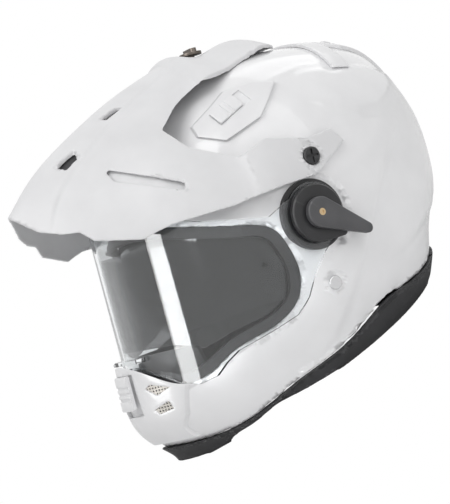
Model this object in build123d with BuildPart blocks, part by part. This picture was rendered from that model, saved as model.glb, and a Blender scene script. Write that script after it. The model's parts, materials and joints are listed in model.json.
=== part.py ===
from build123d import *
from math import cos, radians, sin
import os

os.makedirs("parts", exist_ok=True)

# Adventure riding helmet with a peak, a clear face shield and a drop-down sun visor. Millimetres.
# Every outline is drawn in the wearer's frame: X to the wearer's left, Y to the back, Z up, with
# zero on the shield's hinge line. That frame is tipped back, so that the part stands on Z = 0.

# stance
STAND_TILT = 22.0
HINGE_HEIGHT = 123.0
HINGE_SETBACK = -5.2

# outer form of the shell, measured from the hinge line
SHELL_HALF_WIDTH = 120.0
CHIN_REACH = 150.0
NAPE_REACH = 188.0
CROWN_RISE = 153.5
SKIRT_DROP = 178.0
WIDEST_BACK = 40.0
SHELL_WALL = 4.0
SEAT_GAP = 0.3

# foam, padding and seals
LINER_THICKNESS = 34.0
LINER_REAR_THICKNESS = 54.0
PAD_THICKNESS = 6.0
CHIN_FOAM_THICKNESS = 16.0
GASKET_WIDTH = 9.0
TRIM_PROUD = 3.0
DEFLECTOR_WALL = 2.0
DEFLECTOR_HALF_WIDTH = 42.0
DEFLECTOR_HEIGHT = 32.0
DEFLECTOR_DROP = 112.0

# face shield
SHIELD_WALL = 3.0
SHIELD_REACH = 140.0
INSERT_WALL = 1.2
INSERT_GAP = 0.4
SWEEP_CLEARANCE = 0.4
EAR_RADIUS = 27.0
LIP_DEPTH = 9.0
LIP_THICKNESS = 3.5
LIP_HALF_WIDTH = 22.0
LIP_DROP = 80.2
PIN_RADIUS = 2.2
PIN_PROUD = 0.8

# hinge stack, outwards from the middle of the helmet
POCKET_FACE = 117.0
POCKET_RADIUS = 33.0
BASE_RADIUS = 30.0
BASE_ROOT = 100.0
BASE_THICKNESS = 1.4
EAR_GAP = 0.4
HUB_RADIUS = 8.0
BORE_CLEARANCE = 0.05
COVER_GAP = 0.6
COVER_RADIUS = 24.5
COVER_LUG_RADIUS = 4.0
COVER_THICKNESS = 5.2
COVER_CHAMFER = 1.2
LEVER_GAP = 0.3
LEVER_THICKNESS = 5.5
LEVER_CHAMFER = 0.8
LEVER_BOSS_RADIUS = 13.0
LEVER_LENGTH = 46.0
LEVER_TIP_RADIUS = 4.5
LEVER_DROOP = 29.0
SHAFT_RADIUS = 4.0
LEVER_SCREW_RADIUS = 3.0
LEVER_SCREW_HEAD = 1.5
HEX_SOCKET_RADIUS = 1.4
TUBE_RADIUS = 7.0
TUBE_FACE = 110.5

# sun visor
VISOR_WALL = 2.2
VISOR_EAR_FACE = 109.0
VISOR_EAR_RADIUS = 14.0
VISOR_REACH = 111.0
VISOR_CLEARANCE = 1.6

# peak
PEAK_WALL = 3.0
TONGUE_HALF_WIDTH = 52.0
TONGUE_REACH = 66.0
KNOB_SLOT_HALF_WIDTH = 4.6
KNOB_SLOT_LENGTH = 30.0
KNOB_BACK = -8.0
KNOB_SHAFT_RADIUS = 3.0
KNOB_RADIUS = 10.0
KNOB_HEIGHT = 6.0
KNOB_FACE = 163.9
KNOB_WING_LENGTH = 18.0
KNOB_WING_WIDTH = 6.5
KNOB_WING_HEIGHT = 3.4
BRACKET_RADIUS = 9.0
BRACKET_FACE = 157.3
BRACKET_GRIP = 4.5
BRACKET_FOOT_HALF_WIDTH = 18.0
BRACKET_FOOT_LENGTH = 48.0
SIDE_SCREW_BACK = 11.0
SIDE_SCREW_RISE = 47.5
SIDE_SCREW_HEAD_RADIUS = 7.7
SIDE_SCREW_HEAD = 3.2
SIDE_SCREW_FACE = 119.8
SIDE_SCREW_GAP = 0.2
SIDE_SCREW_RADIUS = 4.0
SIDE_SCREW_END = 107.0
CROSS_SLOT_WIDTH = 2.0
CROSS_SLOT_DEPTH = 1.6
SOCKET_RADIUS = 8.0
SOCKET_END = 106.0
SOCKET_FACE = 117.2
PEAK_BOSS_RADIUS = 11.0

# vents
TOP_VENT_BACK = -29.8
TOP_VENT_RISE = 103.8
TOP_VENT_TURN = 14.0
VENT_FLOOR = 0.8
TOP_SLIDER_LENGTH = 26.0
TOP_SLIDER_WIDTH = 15.0
TOP_SLIDER_HEIGHT = 3.4
SLIDE_TRAVEL = 8.0
SLIDE_GAP = 0.3
RIDGE_DEPTH = 1.0
RIDGE_PITCH = 5.0
CHIN_SLIDER_HALF_WIDTH = 10.5
CHIN_SLIDER_FACE = 151.4
CHIN_SLIDER_TOP = 92.0
CHIN_SLIDER_LENGTH = 30.0
CHIN_SLIDER_HEIGHT = 4.0
CHIN_SLIDE_TRAVEL = 6.0
MESH_WALL = 1.0
MESH_RISE = 0.6
MESH_PITCH = 2.7
MESH_HOLE_RADIUS = 0.75
GRILLE_SIZE = 26.0
REAR_VENT_BACK = 131.0
REAR_SLIDER_LENGTH = 18.0
REAR_SLIDER_WIDTH = 34.0

# chin strap and its fasteners
RIVET_BACK = 8.0
RIVET_DROP = 60.0
RIVET_HEAD_RADIUS = 6.0
RIVET_HEAD = 2.2
RIVET_FACE = 110.5
RIVET_RADIUS = 2.5
RIVET_FLANGE_RADIUS = 5.0
RIVET_FLANGE = 1.2
STRAP_WIDTH = 24.0
STRAP_THICKNESS = 2.0
STRAP_FACE = 104.2
STRAP_DROP = 70.0
STRAP_LEAN = 30.0
STRAP_CLEARANCE = 0.6
RECEIVER_EDGE = 23.0
RECEIVER_LENGTH = 30.0
RECEIVER_WIDTH = 30.0
RECEIVER_THICKNESS = 9.0
TONGUE_PLATE_LENGTH = 26.0
TONGUE_PLATE_WIDTH = 20.0
TONGUE_PLATE_THICKNESS = 2.6
TONGUE_PLATE_GAP = 0.3
TONGUE_PLATE_OVERHANG = 5.0
LATCH_PIN_PLACE = 20.0
LATCH_PIN_RADIUS = 1.5
LATCH_LENGTH = 32.0
LATCH_THICKNESS = 3.0
LATCH_GAP = 0.5
LATCH_EAR_RADIUS = 4.0
LATCH_EAR_WALL = 2.0
BUCKLE_EAR_GAP = 0.3

OVERRUN = 60.0

TILT = radians(STAND_TILT)
HINGE = (0, HINGE_SETBACK, HINGE_HEIGHT)
BACKWARD = (0, cos(TILT), -sin(TILT))
FORWARD = (0, -cos(TILT), sin(TILT))
UPWARD = (0, sin(TILT), cos(TILT))
LEVEL = Plane(origin=HINGE, x_dir=(1, 0, 0), z_dir=UPWARD)
SIDE = Plane(origin=HINGE, x_dir=BACKWARD, z_dir=(1, 0, 0))
FRONT = Plane(origin=HINGE, x_dir=(1, 0, 0), z_dir=FORWARD)

# one row for each level of the shell, from the chin's edge up: height, front reach, rear reach,
# half width, and how square the outline is at its front and at its rear
SKIRT_SHARES = [
    (1.000, 0.787, 0.52, 0.590, 1.60, 2.0),
    (0.905, 0.830, 0.58, 0.700, 1.58, 2.0),
    (0.780, 0.962, 0.65, 0.790, 1.57, 2.0),
    (0.585, 1.000, 0.73, 0.870, 1.60, 2.1),
    (0.425, 0.985, 0.80, 0.925, 1.75, 2.2),
    (0.210, 0.915, 0.89, 0.978, 2.10, 2.2),
]
CROWN_SHARES = [
    (0.000, 0.842, 0.975, 1.000, 2.35, 2.2),
    (0.150, 0.800, 0.995, 0.995, 2.35, 2.2),
    (0.300, 0.739, 1.000, 0.970, 2.30, 2.2),
    (0.500, 0.630, 0.972, 0.910, 2.20, 2.2),
    (0.690, 0.496, 0.905, 0.815, 2.10, 2.2),
    (0.830, 0.331, 0.820, 0.680, 2.05, 2.2),
    (0.925, 0.165, 0.705, 0.510, 2.00, 2.1),
    (0.975, 0.010, 0.566, 0.330, 2.00, 2.0),
    (0.996, -0.155, 0.425, 0.150, 2.00, 2.0),
]
OUTLINE_STEPS = 4

# side-view outlines, as shares of the shell's reaches from the hinge line
SKIRT_LINE_SHARES = [
    (-1.200, -0.904), (-0.807, -0.904), (-0.540, -0.874), (-0.253, -0.753),
    (0.021, -0.652), (0.176, -0.556), (0.293, -0.483), (0.426, -0.444),
    (0.553, -0.410), (0.665, -0.371), (0.771, -0.320), (0.878, -0.281),
    (1.117, -0.236),
]
TRIM_LINE_SHARES = [
    (-1.200, -0.983), (-0.733, -0.983), (-0.647, -0.972), (-0.600, -0.961),
    (-0.583, -0.935), (-0.497, -0.893), (-0.367, -0.829), (-0.233, -0.798),
    (-0.053, -0.756), (0.080, -0.717), (0.333, -0.609), (0.585, -0.501),
    (0.707, -0.438), (0.798, -0.416), (1.117, -0.337),
]
PORT_SHARES = [
    (-1.200, -0.371), (-0.960, -0.517), (-0.773, -0.618), (-0.653, -0.590),
    (-0.533, -0.522), (-0.407, -0.483), (-0.280, -0.444), (-0.180, -0.371),
    (-0.147, -0.258), (-0.187, -0.112), (-0.253, -0.017), (-0.407, 0.039),
    (-0.580, 0.085), (-0.787, 0.163), (-1.200, 0.273),
]
LINER_SHARES = [
    (-1.200, 0.339), (-0.787, 0.241), (-0.580, 0.169), (-0.407, 0.111),
    (-0.240, 0.026), (-0.120, -0.079), (0.340, -0.079), (0.351, -0.348),
    (0.553, -0.326), (0.771, -0.247), (1.117, -0.169), (1.117, 1.238),
    (-1.200, 1.238),
]
CHIN_FOAM_SHARES = [
    (-1.200, -0.396), (-0.960, -0.545), (-0.773, -0.646), (-0.633, -0.618),
    (-0.513, -0.556), (-0.427, -0.545), (-0.427, -0.927), (-1.200, -0.927),
]
CHEEK_SHARES = [
    (0.035, -0.084), (-0.040, -0.258), (-0.070, -0.345), (-0.133, -0.410),
    (-0.280, -0.494), (-0.407, -0.534), (-0.367, -0.719), (0.021, -0.607),
    (0.176, -0.517), (0.335, -0.438), (0.335, -0.084),
]
NECK_SHARES = [
    (0.356, -0.354), (0.553, -0.331), (0.771, -0.253), (1.117, -0.174),
    (1.117, -0.348), (0.798, -0.393), (0.553, -0.472), (0.356, -0.528),
]
SHIELD_SHARES = [
    (-1.200, 0.274), (-0.933, 0.248), (-0.733, 0.176), (-0.580, 0.111),
    (-0.420, 0.072), (-0.273, 0.045), (-0.150, 0.112), (0.106, -0.095),
    (0.005, -0.180), (-0.090, -0.264), (-0.170, -0.365), (-0.255, -0.433),
    (-0.390, -0.472), (-0.567, -0.522), (-0.627, -0.562), (-0.680, -0.612),
    (-0.760, -0.630), (-0.827, -0.607), (-0.893, -0.548), (-0.940, -0.483),
    (-1.200, -0.483),
]
INSERT_SHARES = [
    (-1.200, 0.065), (-0.707, 0.039), (-0.480, -0.022), (-0.327, -0.067),
    (-0.253, -0.185), (-0.287, -0.337), (-0.413, -0.399), (-0.573, -0.433),
    (-0.693, -0.472), (-0.800, -0.427), (-1.200, -0.393),
]
SWEEP_SHARES = [
    (-0.333, -0.169), (-0.333, -0.034), (-0.313, 0.124), (-0.407, 0.254),
    (-0.560, 0.430), (-1.000, 0.730), (-1.000, -0.169),
]
VISOR_SHARES = [
    (-1.200, 0.293), (-0.733, 0.287), (-0.400, 0.248), (-0.060, 0.085),
    (0.010, -0.073), (-0.100, -0.320), (-0.127, -0.337), (-0.387, -0.360),
    (-0.580, -0.388), (-0.627, -0.354), (-0.667, -0.303), (-1.200, -0.213),
]
VISOR_POCKET_SHARES = [
    (0.100, -0.674), (0.100, 0.195), (-0.120, 0.521), (-0.293, 0.814),
    (-0.900, 0.814), (-1.200, 0.326), (-1.200, -0.674),
]
BLADE_SIDE_SHARES = [
    (-1.633, 0.593), (-1.440, 0.397), (-1.347, 0.280), (-1.263, 0.235),
    (-1.187, 0.221), (-1.140, 0.156), (-0.927, 0.098), (-0.860, 0.117),
    (-0.780, 0.137), (-0.447, 0.150), (-0.300, 0.172), (-0.300, 0.407),
    (-0.327, 0.404), (-0.533, 0.521), (-0.600, 0.651), (-0.447, 0.769),
    (-0.300, 0.853), (-0.300, 1.303), (-1.633, 1.303),
]
ARM_SIDE_SHARES = [
    (-0.300, 0.172), (-0.147, 0.189), (0.059, 0.205), (0.255, 0.352),
    (0.207, 0.436), (0.074, 0.410), (-0.160, 0.463), (-0.300, 0.407),
]
TONGUE_SIDE_SHARES = [
    (-0.300, 0.853), (-0.267, 0.873), (0.000, 0.873), (0.176, 0.938),
    (0.372, 0.960), (0.372, 1.303), (-0.300, 1.303),
]
SCOOP_SHARES = [(-0.947, 0.521), (-0.640, 0.332), (-0.660, 0.296), (-0.933, 0.443)]
TOP_VENT_SHARES = [
    (-0.407, 0.632), (-0.413, 0.567), (-0.313, 0.508), (-0.093, 0.590),
    (0.073, 0.769), (-0.027, 0.801), (-0.180, 0.782),
]
REAR_BRIDGE_SHARES = [(0.400, 1.303), (0.400, 0.775), (0.500, 0.760), (0.520, 1.303)]
REAR_PLATE_SHARES = [(0.530, 1.303), (0.530, 0.391), (1.117, 0.391), (1.117, 1.303)]

# front-view outlines, as shares of the half width and of the drop
CHIN_VENT_SHARES = [
    (0.100, -0.472), (0.208, -0.517), (0.383, -0.618), (0.317, -0.758),
    (0.258, -0.815), (0.258, -0.877),
]
UPPER_GRILLE_SHARES = [(0.160, -0.597), (0.200, -0.579), (0.312, -0.612), (0.222, -0.640)]
LOWER_GRILLE_SHARES = [(0.172, -0.703), (0.275, -0.674), (0.283, -0.716), (0.190, -0.730)]

# plan outlines, as shares of a half width and a reach
SHIELD_PLAN_SHARES = [
    (0.978, 0.264), (0.922, 0.386), (0.845, 0.500), (0.755, 0.600), (0.657, 0.700),
    (0.542, 0.800), (0.443, 0.875), (0.312, 0.943), (0.160, 0.990), (0.000, 1.000),
]
SHIELD_EAR_START_SHARE = 0.196
PIN_SHARES = (0.922, 0.386, 0.170)
PIN_FACING = (0.894, -0.447, 0)
TONGUE_PLAN_SHARES = [
    (1.30, -0.70), (1.00, 0.10), (0.96, 0.40), (0.80, 0.70), (0.50, 0.93), (0.00, 1.00),
]
REAR_PLATE_PLAN_SHARES = [(0.36, 0.53), (0.40, 0.62), (0.30, 0.80), (0.22, 1.10)]
PEAK_SLOT_SHARES = [(0.125, -1.13), (0.205, -1.10), (0.215, -1.02), (0.150, -1.00)]
PEAK_WINDOW_SHARES = [(0.130, -0.800), (0.200, -0.775), (0.225, -0.660), (0.165, -0.690)]

# one row for each station of the peak: place and height over the hinge line as shares of the
# chin's reach and the crown's rise, half width as a share of the shell's, and roundness
BLADE_ROWS_SHARES = [
    (-1.500, 0.352, 0.100, 1.50),
    (-1.333, 0.495, 0.310, 1.50),
    (-1.200, 0.606, 0.475, 1.50),
    (-1.000, 0.730, 0.633, 1.50),
    (-0.733, 0.867, 0.850, 1.60),
    (-0.533, 0.951, 0.958, 1.60),
    (-0.300, 1.033, 1.017, 1.90),
]
ARM_ROWS_SHARES = [
    (-0.300, 1.033, 1.017, 1.90),
    (-0.147, 1.060, 1.040, 2.20),
    (0.060, 1.090, 1.033, 2.40),
    (0.260, 1.090, 1.027, 2.40),
]
TONGUE_ROWS_SHARES = [
    (-0.300, 1.033, 1.017, 1.90),
    (-0.120, 1.061, 0.992, 1.93),
    (0.010, 1.064, 0.975, 1.96),
    (0.149, 1.108, 0.933, 2.00),
    (0.266, 1.068, 0.958, 2.10),
    (0.372, 1.036, 0.983, 2.20),
]

# sun visor, a surface turned about the hinge line: distance from the middle and radius, as
# shares of the ear's place and of the reach
VISOR_PROFILE_SHARES = [
    (0.000, 1.000), (0.303, 0.973), (0.550, 0.892), (0.734, 0.752),
    (0.890, 0.520), (0.969, 0.300), (1.000, 0.126),
]

# chin strap, from its upper end to the level stretch: shares of the strap's place and drop
STRAP_SHARES = [(1.00, 0.143), (1.00, -0.114), (0.857, -0.60), (0.61, -0.91), (0.40, -1.00)]


def at_side(shares):
    """Points of a side-view outline."""
    points = []
    for back, up in shares:
        y = back * (NAPE_REACH if back > 0 else CHIN_REACH)
        z = up * (CROWN_RISE if up > 0 else SKIRT_DROP)
        points.append((y, z))
    return points


def at_front(shares):
    """Points of a front-view outline."""
    return [(across * SHELL_HALF_WIDTH, down * SKIRT_DROP) for across, down in shares]


def in_plan(shares, half_width, reach):
    """Points of an outline seen from above."""
    return [(across * half_width, along * reach) for across, along in shares]


def mirrored(points):
    """The points and their mirror images, in order round the middle line."""
    return points + [(-x, y) for x, y in reversed(points) if x]


def worn_point(x, y, z):
    """A point of the wearer's frame."""
    return Vector(LEVEL.from_local_coords((x, y, z)))


def worn_way(x, y, z):
    """A direction of the wearer's frame."""
    return worn_point(x, y, z) - worn_point(0, 0, 0)


def outline(front, rear, half_width, front_round, rear_round):
    """Left half of one level's outline, from the front point to the rear point."""
    points = []
    for step in range(2 * OUTLINE_STEPS + 1):
        turn = radians(90 * step / OUTLINE_STEPS)
        power = front_round if step <= OUTLINE_STEPS else rear_round
        reach = front if step <= OUTLINE_STEPS else rear
        x = half_width * abs(sin(turn)) ** (2 / power)
        y = WIDEST_BACK + (reach - WIDEST_BACK) * abs(cos(turn)) ** (2 / power)
        points.append((x, y))
    return points


def form(grow, rear_grow=None):
    """The shell's outer form as a solid, with every reach changed by one amount."""
    rear_grow = grow if rear_grow is None else rear_grow
    rows = [(-drop * (SKIRT_DROP + grow), *row) for drop, *row in SKIRT_SHARES]
    rows += [(rise * (CROWN_RISE + grow), *row) for rise, *row in CROWN_SHARES]
    with BuildPart() as solid:
        for height, front, rear, width, front_round, rear_round in rows:
            half = outline(
                -front * (CHIN_REACH + grow),
                rear * (NAPE_REACH + rear_grow),
                width * (SHELL_HALF_WIDTH + grow),
                front_round,
                rear_round,
            )
            with BuildSketch(LEVEL.offset(height)):
                with BuildLine():
                    Spline(*half, *[(-x, y) for x, y in half[-2:0:-1]], periodic=True)
                make_face()
        loft()
    return solid.part


def prism(plane, points, reach, both=False):
    """A straight-sided solid from an outline on a plane."""
    with BuildPart() as solid:
        with BuildSketch(plane):
            with BuildLine():
                Polyline(*points, close=True)
            make_face()
        extrude(amount=reach, both=both)
    return solid.part


def side_prism(shares):
    """A prism across the whole helmet from a straight-edged side-view outline."""
    return prism(SIDE, at_side(shares), SHELL_HALF_WIDTH + OVERRUN, both=True)


def curved_prism(points, corners=()):
    """A prism across the whole helmet whose side view is a curve, closed through its corners."""
    with BuildPart() as solid:
        with BuildSketch(SIDE):
            with BuildLine():
                Spline(*points)
                Polyline(points[-1], *corners, points[0])
            make_face()
        extrude(amount=SHELL_HALF_WIDTH + OVERRUN, both=True)
    return solid.part


def drawn_in(points, amount):
    """The points of an open curve, moved to its left-hand side by one amount."""
    moved = []
    for place, (y, z) in enumerate(points):
        before = points[max(place - 1, 0)]
        after = points[min(place + 1, len(points) - 1)]
        along = Vector(after[0] - before[0], after[1] - before[1]).normalized()
        moved.append((y - along.Y * amount, z + along.X * amount))
    return moved


def below(shares):
    """Everything under a side-view line."""
    line = at_side(shares)
    depth = -SKIRT_DROP - OVERRUN
    return curved_prism(line, corners=[(line[-1][0], depth), (line[0][0], depth)])


def layer(outer, inner):
    """What lies between two forms."""
    with BuildPart() as skin:
        add(outer)
        add(inner, mode=Mode.SUBTRACT)
    return skin.part


def arch(rows, thinner):
    """A tunnel form over the head from the peak's stations."""
    with BuildPart() as solid:
        for back, up, wide, power in rows:
            place = back * (NAPE_REACH if back > 0 else CHIN_REACH)
            half = []
            for step in range(OUTLINE_STEPS + 1):
                turn = radians(90 * step / OUTLINE_STEPS)
                x = (wide * SHELL_HALF_WIDTH - thinner) * abs(cos(turn)) ** (2 / power)
                z = (up * CROWN_RISE - thinner) * abs(sin(turn)) ** (2 / power)
                half.append((x, z))
            with BuildSketch(FRONT.offset(-place)):
                with BuildLine():
                    Spline(*half, *[(-x, z) for x, z in half[-2::-1]])
                    Line((-half[0][0], 0), half[0])
                make_face()
        loft()
    return solid.part


def canopy(rows, side_shares):
    """An arched sheet through some of the peak's stations, trimmed to its side view."""
    with BuildPart() as sheet:
        add(arch(rows, 0))
        add(arch(rows, PEAK_WALL), mode=Mode.SUBTRACT)
        add(side_prism(side_shares), mode=Mode.INTERSECT)
    return sheet.part


def shield_block(inset):
    """The upright-walled form inside the shield's outer face, made smaller by one amount."""
    half_width = EAR_FACE - inset
    reach = SHIELD_REACH - inset
    ear_start = (half_width, -SHIELD_EAR_START_SHARE * SHIELD_REACH)
    half = [ear_start]
    half += [(across * half_width, -along * reach) for across, along in SHIELD_PLAN_SHARES]
    other = [(-x, y) for x, y in half[-2::-1]]
    back = (half_width, POCKET_RADIUS)
    with BuildPart() as block:
        with BuildSketch(LEVEL.offset(-SKIRT_DROP)):
            with BuildLine():
                Spline(*half, *other, tangents=[(0, -1), (0, 1)])
                Polyline(other[-1], (-back[0], back[1]), back, ear_start)
            make_face()
        extrude(amount=SKIRT_DROP + CROWN_RISE)
    return block.part


def swept(inset):
    """The drum inside which nothing meets the raised shield, made smaller by one amount."""
    half_width = EAR_FACE - inset
    half = in_plan(SHIELD_PLAN_SHARES, half_width, inset - SHIELD_REACH)
    other = [(-x, y) for x, y in half[-2::-1]]
    with BuildPart() as drum:
        with BuildSketch(LEVEL):
            with BuildLine():
                Spline(*half, *other)
                Polyline(other[-1], (-half_width, 0), (half_width, 0), half[0])
            make_face()
        revolve(axis=Axis(HINGE, (1, 0, 0)))
    return drum.part


def turned(inset):
    """The drum inside the sun visor's outer face, made smaller by one amount."""
    ear = VISOR_EAR_FACE - inset
    half = in_plan(VISOR_PROFILE_SHARES, ear, inset - VISOR_REACH)
    other = [(-x, y) for x, y in half[1:]]
    with BuildPart() as drum:
        with BuildSketch(LEVEL):
            with BuildLine():
                Spline(*half[::-1], *other)
                Polyline(other[-1], (-ear, 0), (ear, 0), half[-1])
            make_face()
        revolve(axis=Axis(HINGE, (1, 0, 0)))
    return drum.part


def plane_on(solid, start, way, x_way, turn=0):
    """The plane that touches a solid where a line from inside leaves it, turned on itself."""
    hits = solid.find_intersection_points(Axis(start, way))
    point, facing = max(hits, key=lambda hit: (hit[0] - start).dot(Vector(way)))
    across = facing.cross(Vector(x_way)).normalized()
    along = across.cross(facing)
    x_dir = along * cos(radians(turn)) + across * sin(radians(turn))
    return Plane(origin=point, x_dir=x_dir, z_dir=facing)


def moved_along(plane, distance, rise):
    """A plane shifted along its own X and off its face."""
    return Plane(plane.from_local_coords((distance, 0, rise)), plane.x_dir, plane.z_dir)


def hinge_disc(face, thickness, radius, back=0, rise=0):
    """A round piece square to the hinge line, on the wearer's left."""
    with BuildPart() as disc:
        with BuildSketch(SIDE.offset(face)):
            with Locations((back, rise)):
                Circle(radius)
        extrude(amount=thickness)
    return disc.part


def strap_line(end):
    """Middle line of the left strap in the strap's own plane, down to its buckle end."""
    points = in_plan(STRAP_SHARES, STRAP_FACE, STRAP_DROP)
    return points + [(end, -STRAP_DROP)]


def strap(end, thickness, width):
    """The left strap, or with larger sizes the room that it needs."""
    with BuildPart() as webbing:
        with BuildSketch(STRAP_PLANE):
            with BuildLine():
                line = FilletPolyline(*strap_line(end), radius=STRAP_WIDTH / 3)
            trace(line, thickness)
        extrude(amount=width / 2, both=True)
    return webbing.part


def slider(plane, length, width, height):
    """A ridged thumb slider standing on a plane, its ridges across its length."""
    with BuildPart() as thumb:
        with BuildSketch(plane):
            Rectangle(length, width)
        extrude(amount=height)
        sides = thumb.edges().filter_by(lambda edge: abs(edge.length - height) < SLIDE_GAP)
        fillet(sides, height / 2)
        ridges = int(length / 2 / RIDGE_PITCH)
        with BuildSketch(plane.offset(height)):
            with GridLocations(RIDGE_PITCH, 0, ridges, 1):
                Rectangle(RIDGE_PITCH / 2, width)
        extrude(amount=-RIDGE_DEPTH, mode=Mode.SUBTRACT)
    return thumb.part


# places along the hinge line
BASE_FACE = POCKET_FACE + BASE_THICKNESS
EAR_ROOT = BASE_FACE + EAR_GAP
EAR_FACE = EAR_ROOT + SHIELD_WALL
COVER_ROOT = EAR_FACE + COVER_GAP
COVER_FACE = COVER_ROOT + COVER_THICKNESS
LEVER_ROOT = COVER_FACE + LEVER_GAP
LEVER_FACE = LEVER_ROOT + LEVER_THICKNESS

# the strap's plane: across the helmet and up along the strap, leaning forward as it goes down
LEAN = radians(STRAP_LEAN)
STRAP_PLANE = Plane(
    origin=worn_point(0, RIVET_BACK, -RIVET_DROP),
    x_dir=(1, 0, 0),
    z_dir=worn_way(0, -cos(LEAN), sin(LEAN)),
)

# forms that several pieces share
outer_form = form(0)
wall_form = form(-SHELL_WALL)
foam_form = form(-SHELL_WALL - SEAT_GAP)
proud_form = form(TRIM_PROUD)
pad_form = form(
    -SHELL_WALL - LINER_THICKNESS - PAD_THICKNESS,
    -SHELL_WALL - LINER_REAR_THICKNESS - PAD_THICKNESS,
)
proud_layer = layer(proud_form, outer_form)
pad_layer = layer(foam_form, pad_form)
below_skirt = below(SKIRT_LINE_SHARES)
port = curved_prism(at_side(PORT_SHARES))
insert_depth = SHIELD_WALL + INSERT_GAP + INSERT_WALL
with BuildPart() as shield_way:
    add(side_prism(SWEEP_SHARES))
    add(swept(insert_depth + SWEEP_CLEARANCE), mode=Mode.SUBTRACT)
visor_room = hinge_disc(-POCKET_FACE, 2 * POCKET_FACE, VISOR_EAR_RADIUS + VISOR_CLEARANCE)
print("forms ready")

# shell
screw_place = (SIDE_SCREW_BACK, SIDE_SCREW_RISE)
rivet_place = (RIVET_BACK, -RIVET_DROP)
with BuildPart() as outer_shell:
    add(layer(outer_form, wall_form))
    add(below_skirt, mode=Mode.SUBTRACT)
    add(port, mode=Mode.SUBTRACT)
    add(shield_way.part, mode=Mode.SUBTRACT)
    for cutter in (
        hinge_disc(POCKET_FACE, OVERRUN, POCKET_RADIUS),
        hinge_disc(BASE_ROOT, OVERRUN, TUBE_RADIUS),
        hinge_disc(BASE_ROOT, OVERRUN, SOCKET_RADIUS, *screw_place),
        hinge_disc(BASE_ROOT, OVERRUN, RIVET_RADIUS, *rivet_place),
        hinge_disc(RIVET_FACE, OVERRUN, RIVET_HEAD_RADIUS + SEAT_GAP, *rivet_place),
    ):
        add(cutter, mode=Mode.SUBTRACT)
        mirror(cutter, about=Plane.YZ, mode=Mode.SUBTRACT)

# foam and padding
head_form = form(-SHELL_WALL - LINER_THICKNESS, -SHELL_WALL - LINER_REAR_THICKNESS)
liner_prism = side_prism(LINER_SHARES)
with BuildPart() as visor_pocket:
    add(side_prism(VISOR_POCKET_SHARES))
    add(turned(VISOR_WALL + VISOR_CLEARANCE), mode=Mode.SUBTRACT)

with BuildPart() as eps_liner:
    add(layer(foam_form, head_form))
    add(liner_prism, mode=Mode.INTERSECT)
    add(visor_pocket.part, mode=Mode.SUBTRACT)
    add(visor_room, mode=Mode.SUBTRACT)
    socket_room = hinge_disc(SOCKET_END - SEAT_GAP, OVERRUN, SOCKET_RADIUS + SEAT_GAP, *screw_place)
    add(socket_room, mode=Mode.SUBTRACT)
    mirror(socket_room, about=Plane.YZ, mode=Mode.SUBTRACT)

with BuildPart() as crown_pad:
    pad_seat = -SHELL_WALL - SEAT_GAP
    add(form(pad_seat - LINER_THICKNESS, pad_seat - LINER_REAR_THICKNESS))
    add(pad_form, mode=Mode.SUBTRACT)
    add(liner_prism, mode=Mode.INTERSECT)

chin_form = form(-SHELL_WALL - CHIN_FOAM_THICKNESS)
with BuildPart() as chin_foam:
    add(layer(foam_form, chin_form))
    add(side_prism(CHIN_FOAM_SHARES), mode=Mode.INTERSECT)
    add(below_skirt, mode=Mode.SUBTRACT)

with BuildPart() as cheek_pad_left:
    add(pad_layer)
    add(side_prism(CHEEK_SHARES), mode=Mode.INTERSECT)
    split(bisect_by=Plane.YZ, keep=Keep.TOP)
    add(visor_room, mode=Mode.SUBTRACT)
    strap_width = STRAP_WIDTH + 2 * STRAP_CLEARANCE
    strap_room = STRAP_THICKNESS + 2 * STRAP_CLEARANCE
    add(strap(RECEIVER_EDGE, strap_room, strap_width), mode=Mode.SUBTRACT)
    outer_corners = [
        (SHELL_HALF_WIDTH, -STRAP_DROP),
        (SHELL_HALF_WIDTH, STRAP_SHARES[0][1] * STRAP_DROP + STRAP_CLEARANCE),
    ]
    channel = in_plan(STRAP_SHARES, STRAP_FACE, STRAP_DROP) + outer_corners
    add(prism(STRAP_PLANE, channel, strap_width / 2, both=True), mode=Mode.SUBTRACT)
    flange_room = RIVET_FLANGE_RADIUS + STRAP_CLEARANCE
    add(hinge_disc(BASE_ROOT, OVERRUN, flange_room, *rivet_place), mode=Mode.SUBTRACT)

with BuildPart() as cheek_pad_right:
    mirror(cheek_pad_left.part, about=Plane.YZ)

with BuildPart() as neck_roll:
    add(pad_layer)
    add(side_prism(NECK_SHARES), mode=Mode.INTERSECT)

# edge trim and seals
with BuildPart() as base_trim:
    add(layer(proud_form, wall_form))
    add(below_skirt, mode=Mode.INTERSECT)
    add(below(TRIM_LINE_SHARES), mode=Mode.SUBTRACT)
    with BuildSketch(Plane.XY):
        Rectangle(2 * OVERRUN + 2 * SHELL_HALF_WIDTH, 2 * NAPE_REACH + 2 * CHIN_REACH)
    extrude(amount=-OVERRUN, mode=Mode.SUBTRACT)

with BuildPart() as eye_port_gasket:
    add(layer(outer_form, wall_form))
    add(port, mode=Mode.INTERSECT)
    add(curved_prism(drawn_in(at_side(PORT_SHARES), GASKET_WIDTH)), mode=Mode.SUBTRACT)
    add(shield_block(insert_depth + 2 * INSERT_GAP), mode=Mode.INTERSECT)
    add(shield_way.part, mode=Mode.SUBTRACT)

deflector_seat = -SHELL_WALL - CHIN_FOAM_THICKNESS - SEAT_GAP
deflector_outline = mirrored([
    (DEFLECTOR_HALF_WIDTH, -DEFLECTOR_DROP),
    (DEFLECTOR_HALF_WIDTH, DEFLECTOR_HEIGHT - DEFLECTOR_DROP),
])
with BuildPart() as breath_deflector:
    add(layer(form(deflector_seat), form(deflector_seat - DEFLECTOR_WALL)))
    add(prism(FRONT, deflector_outline, CHIN_REACH), mode=Mode.INTERSECT)

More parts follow.
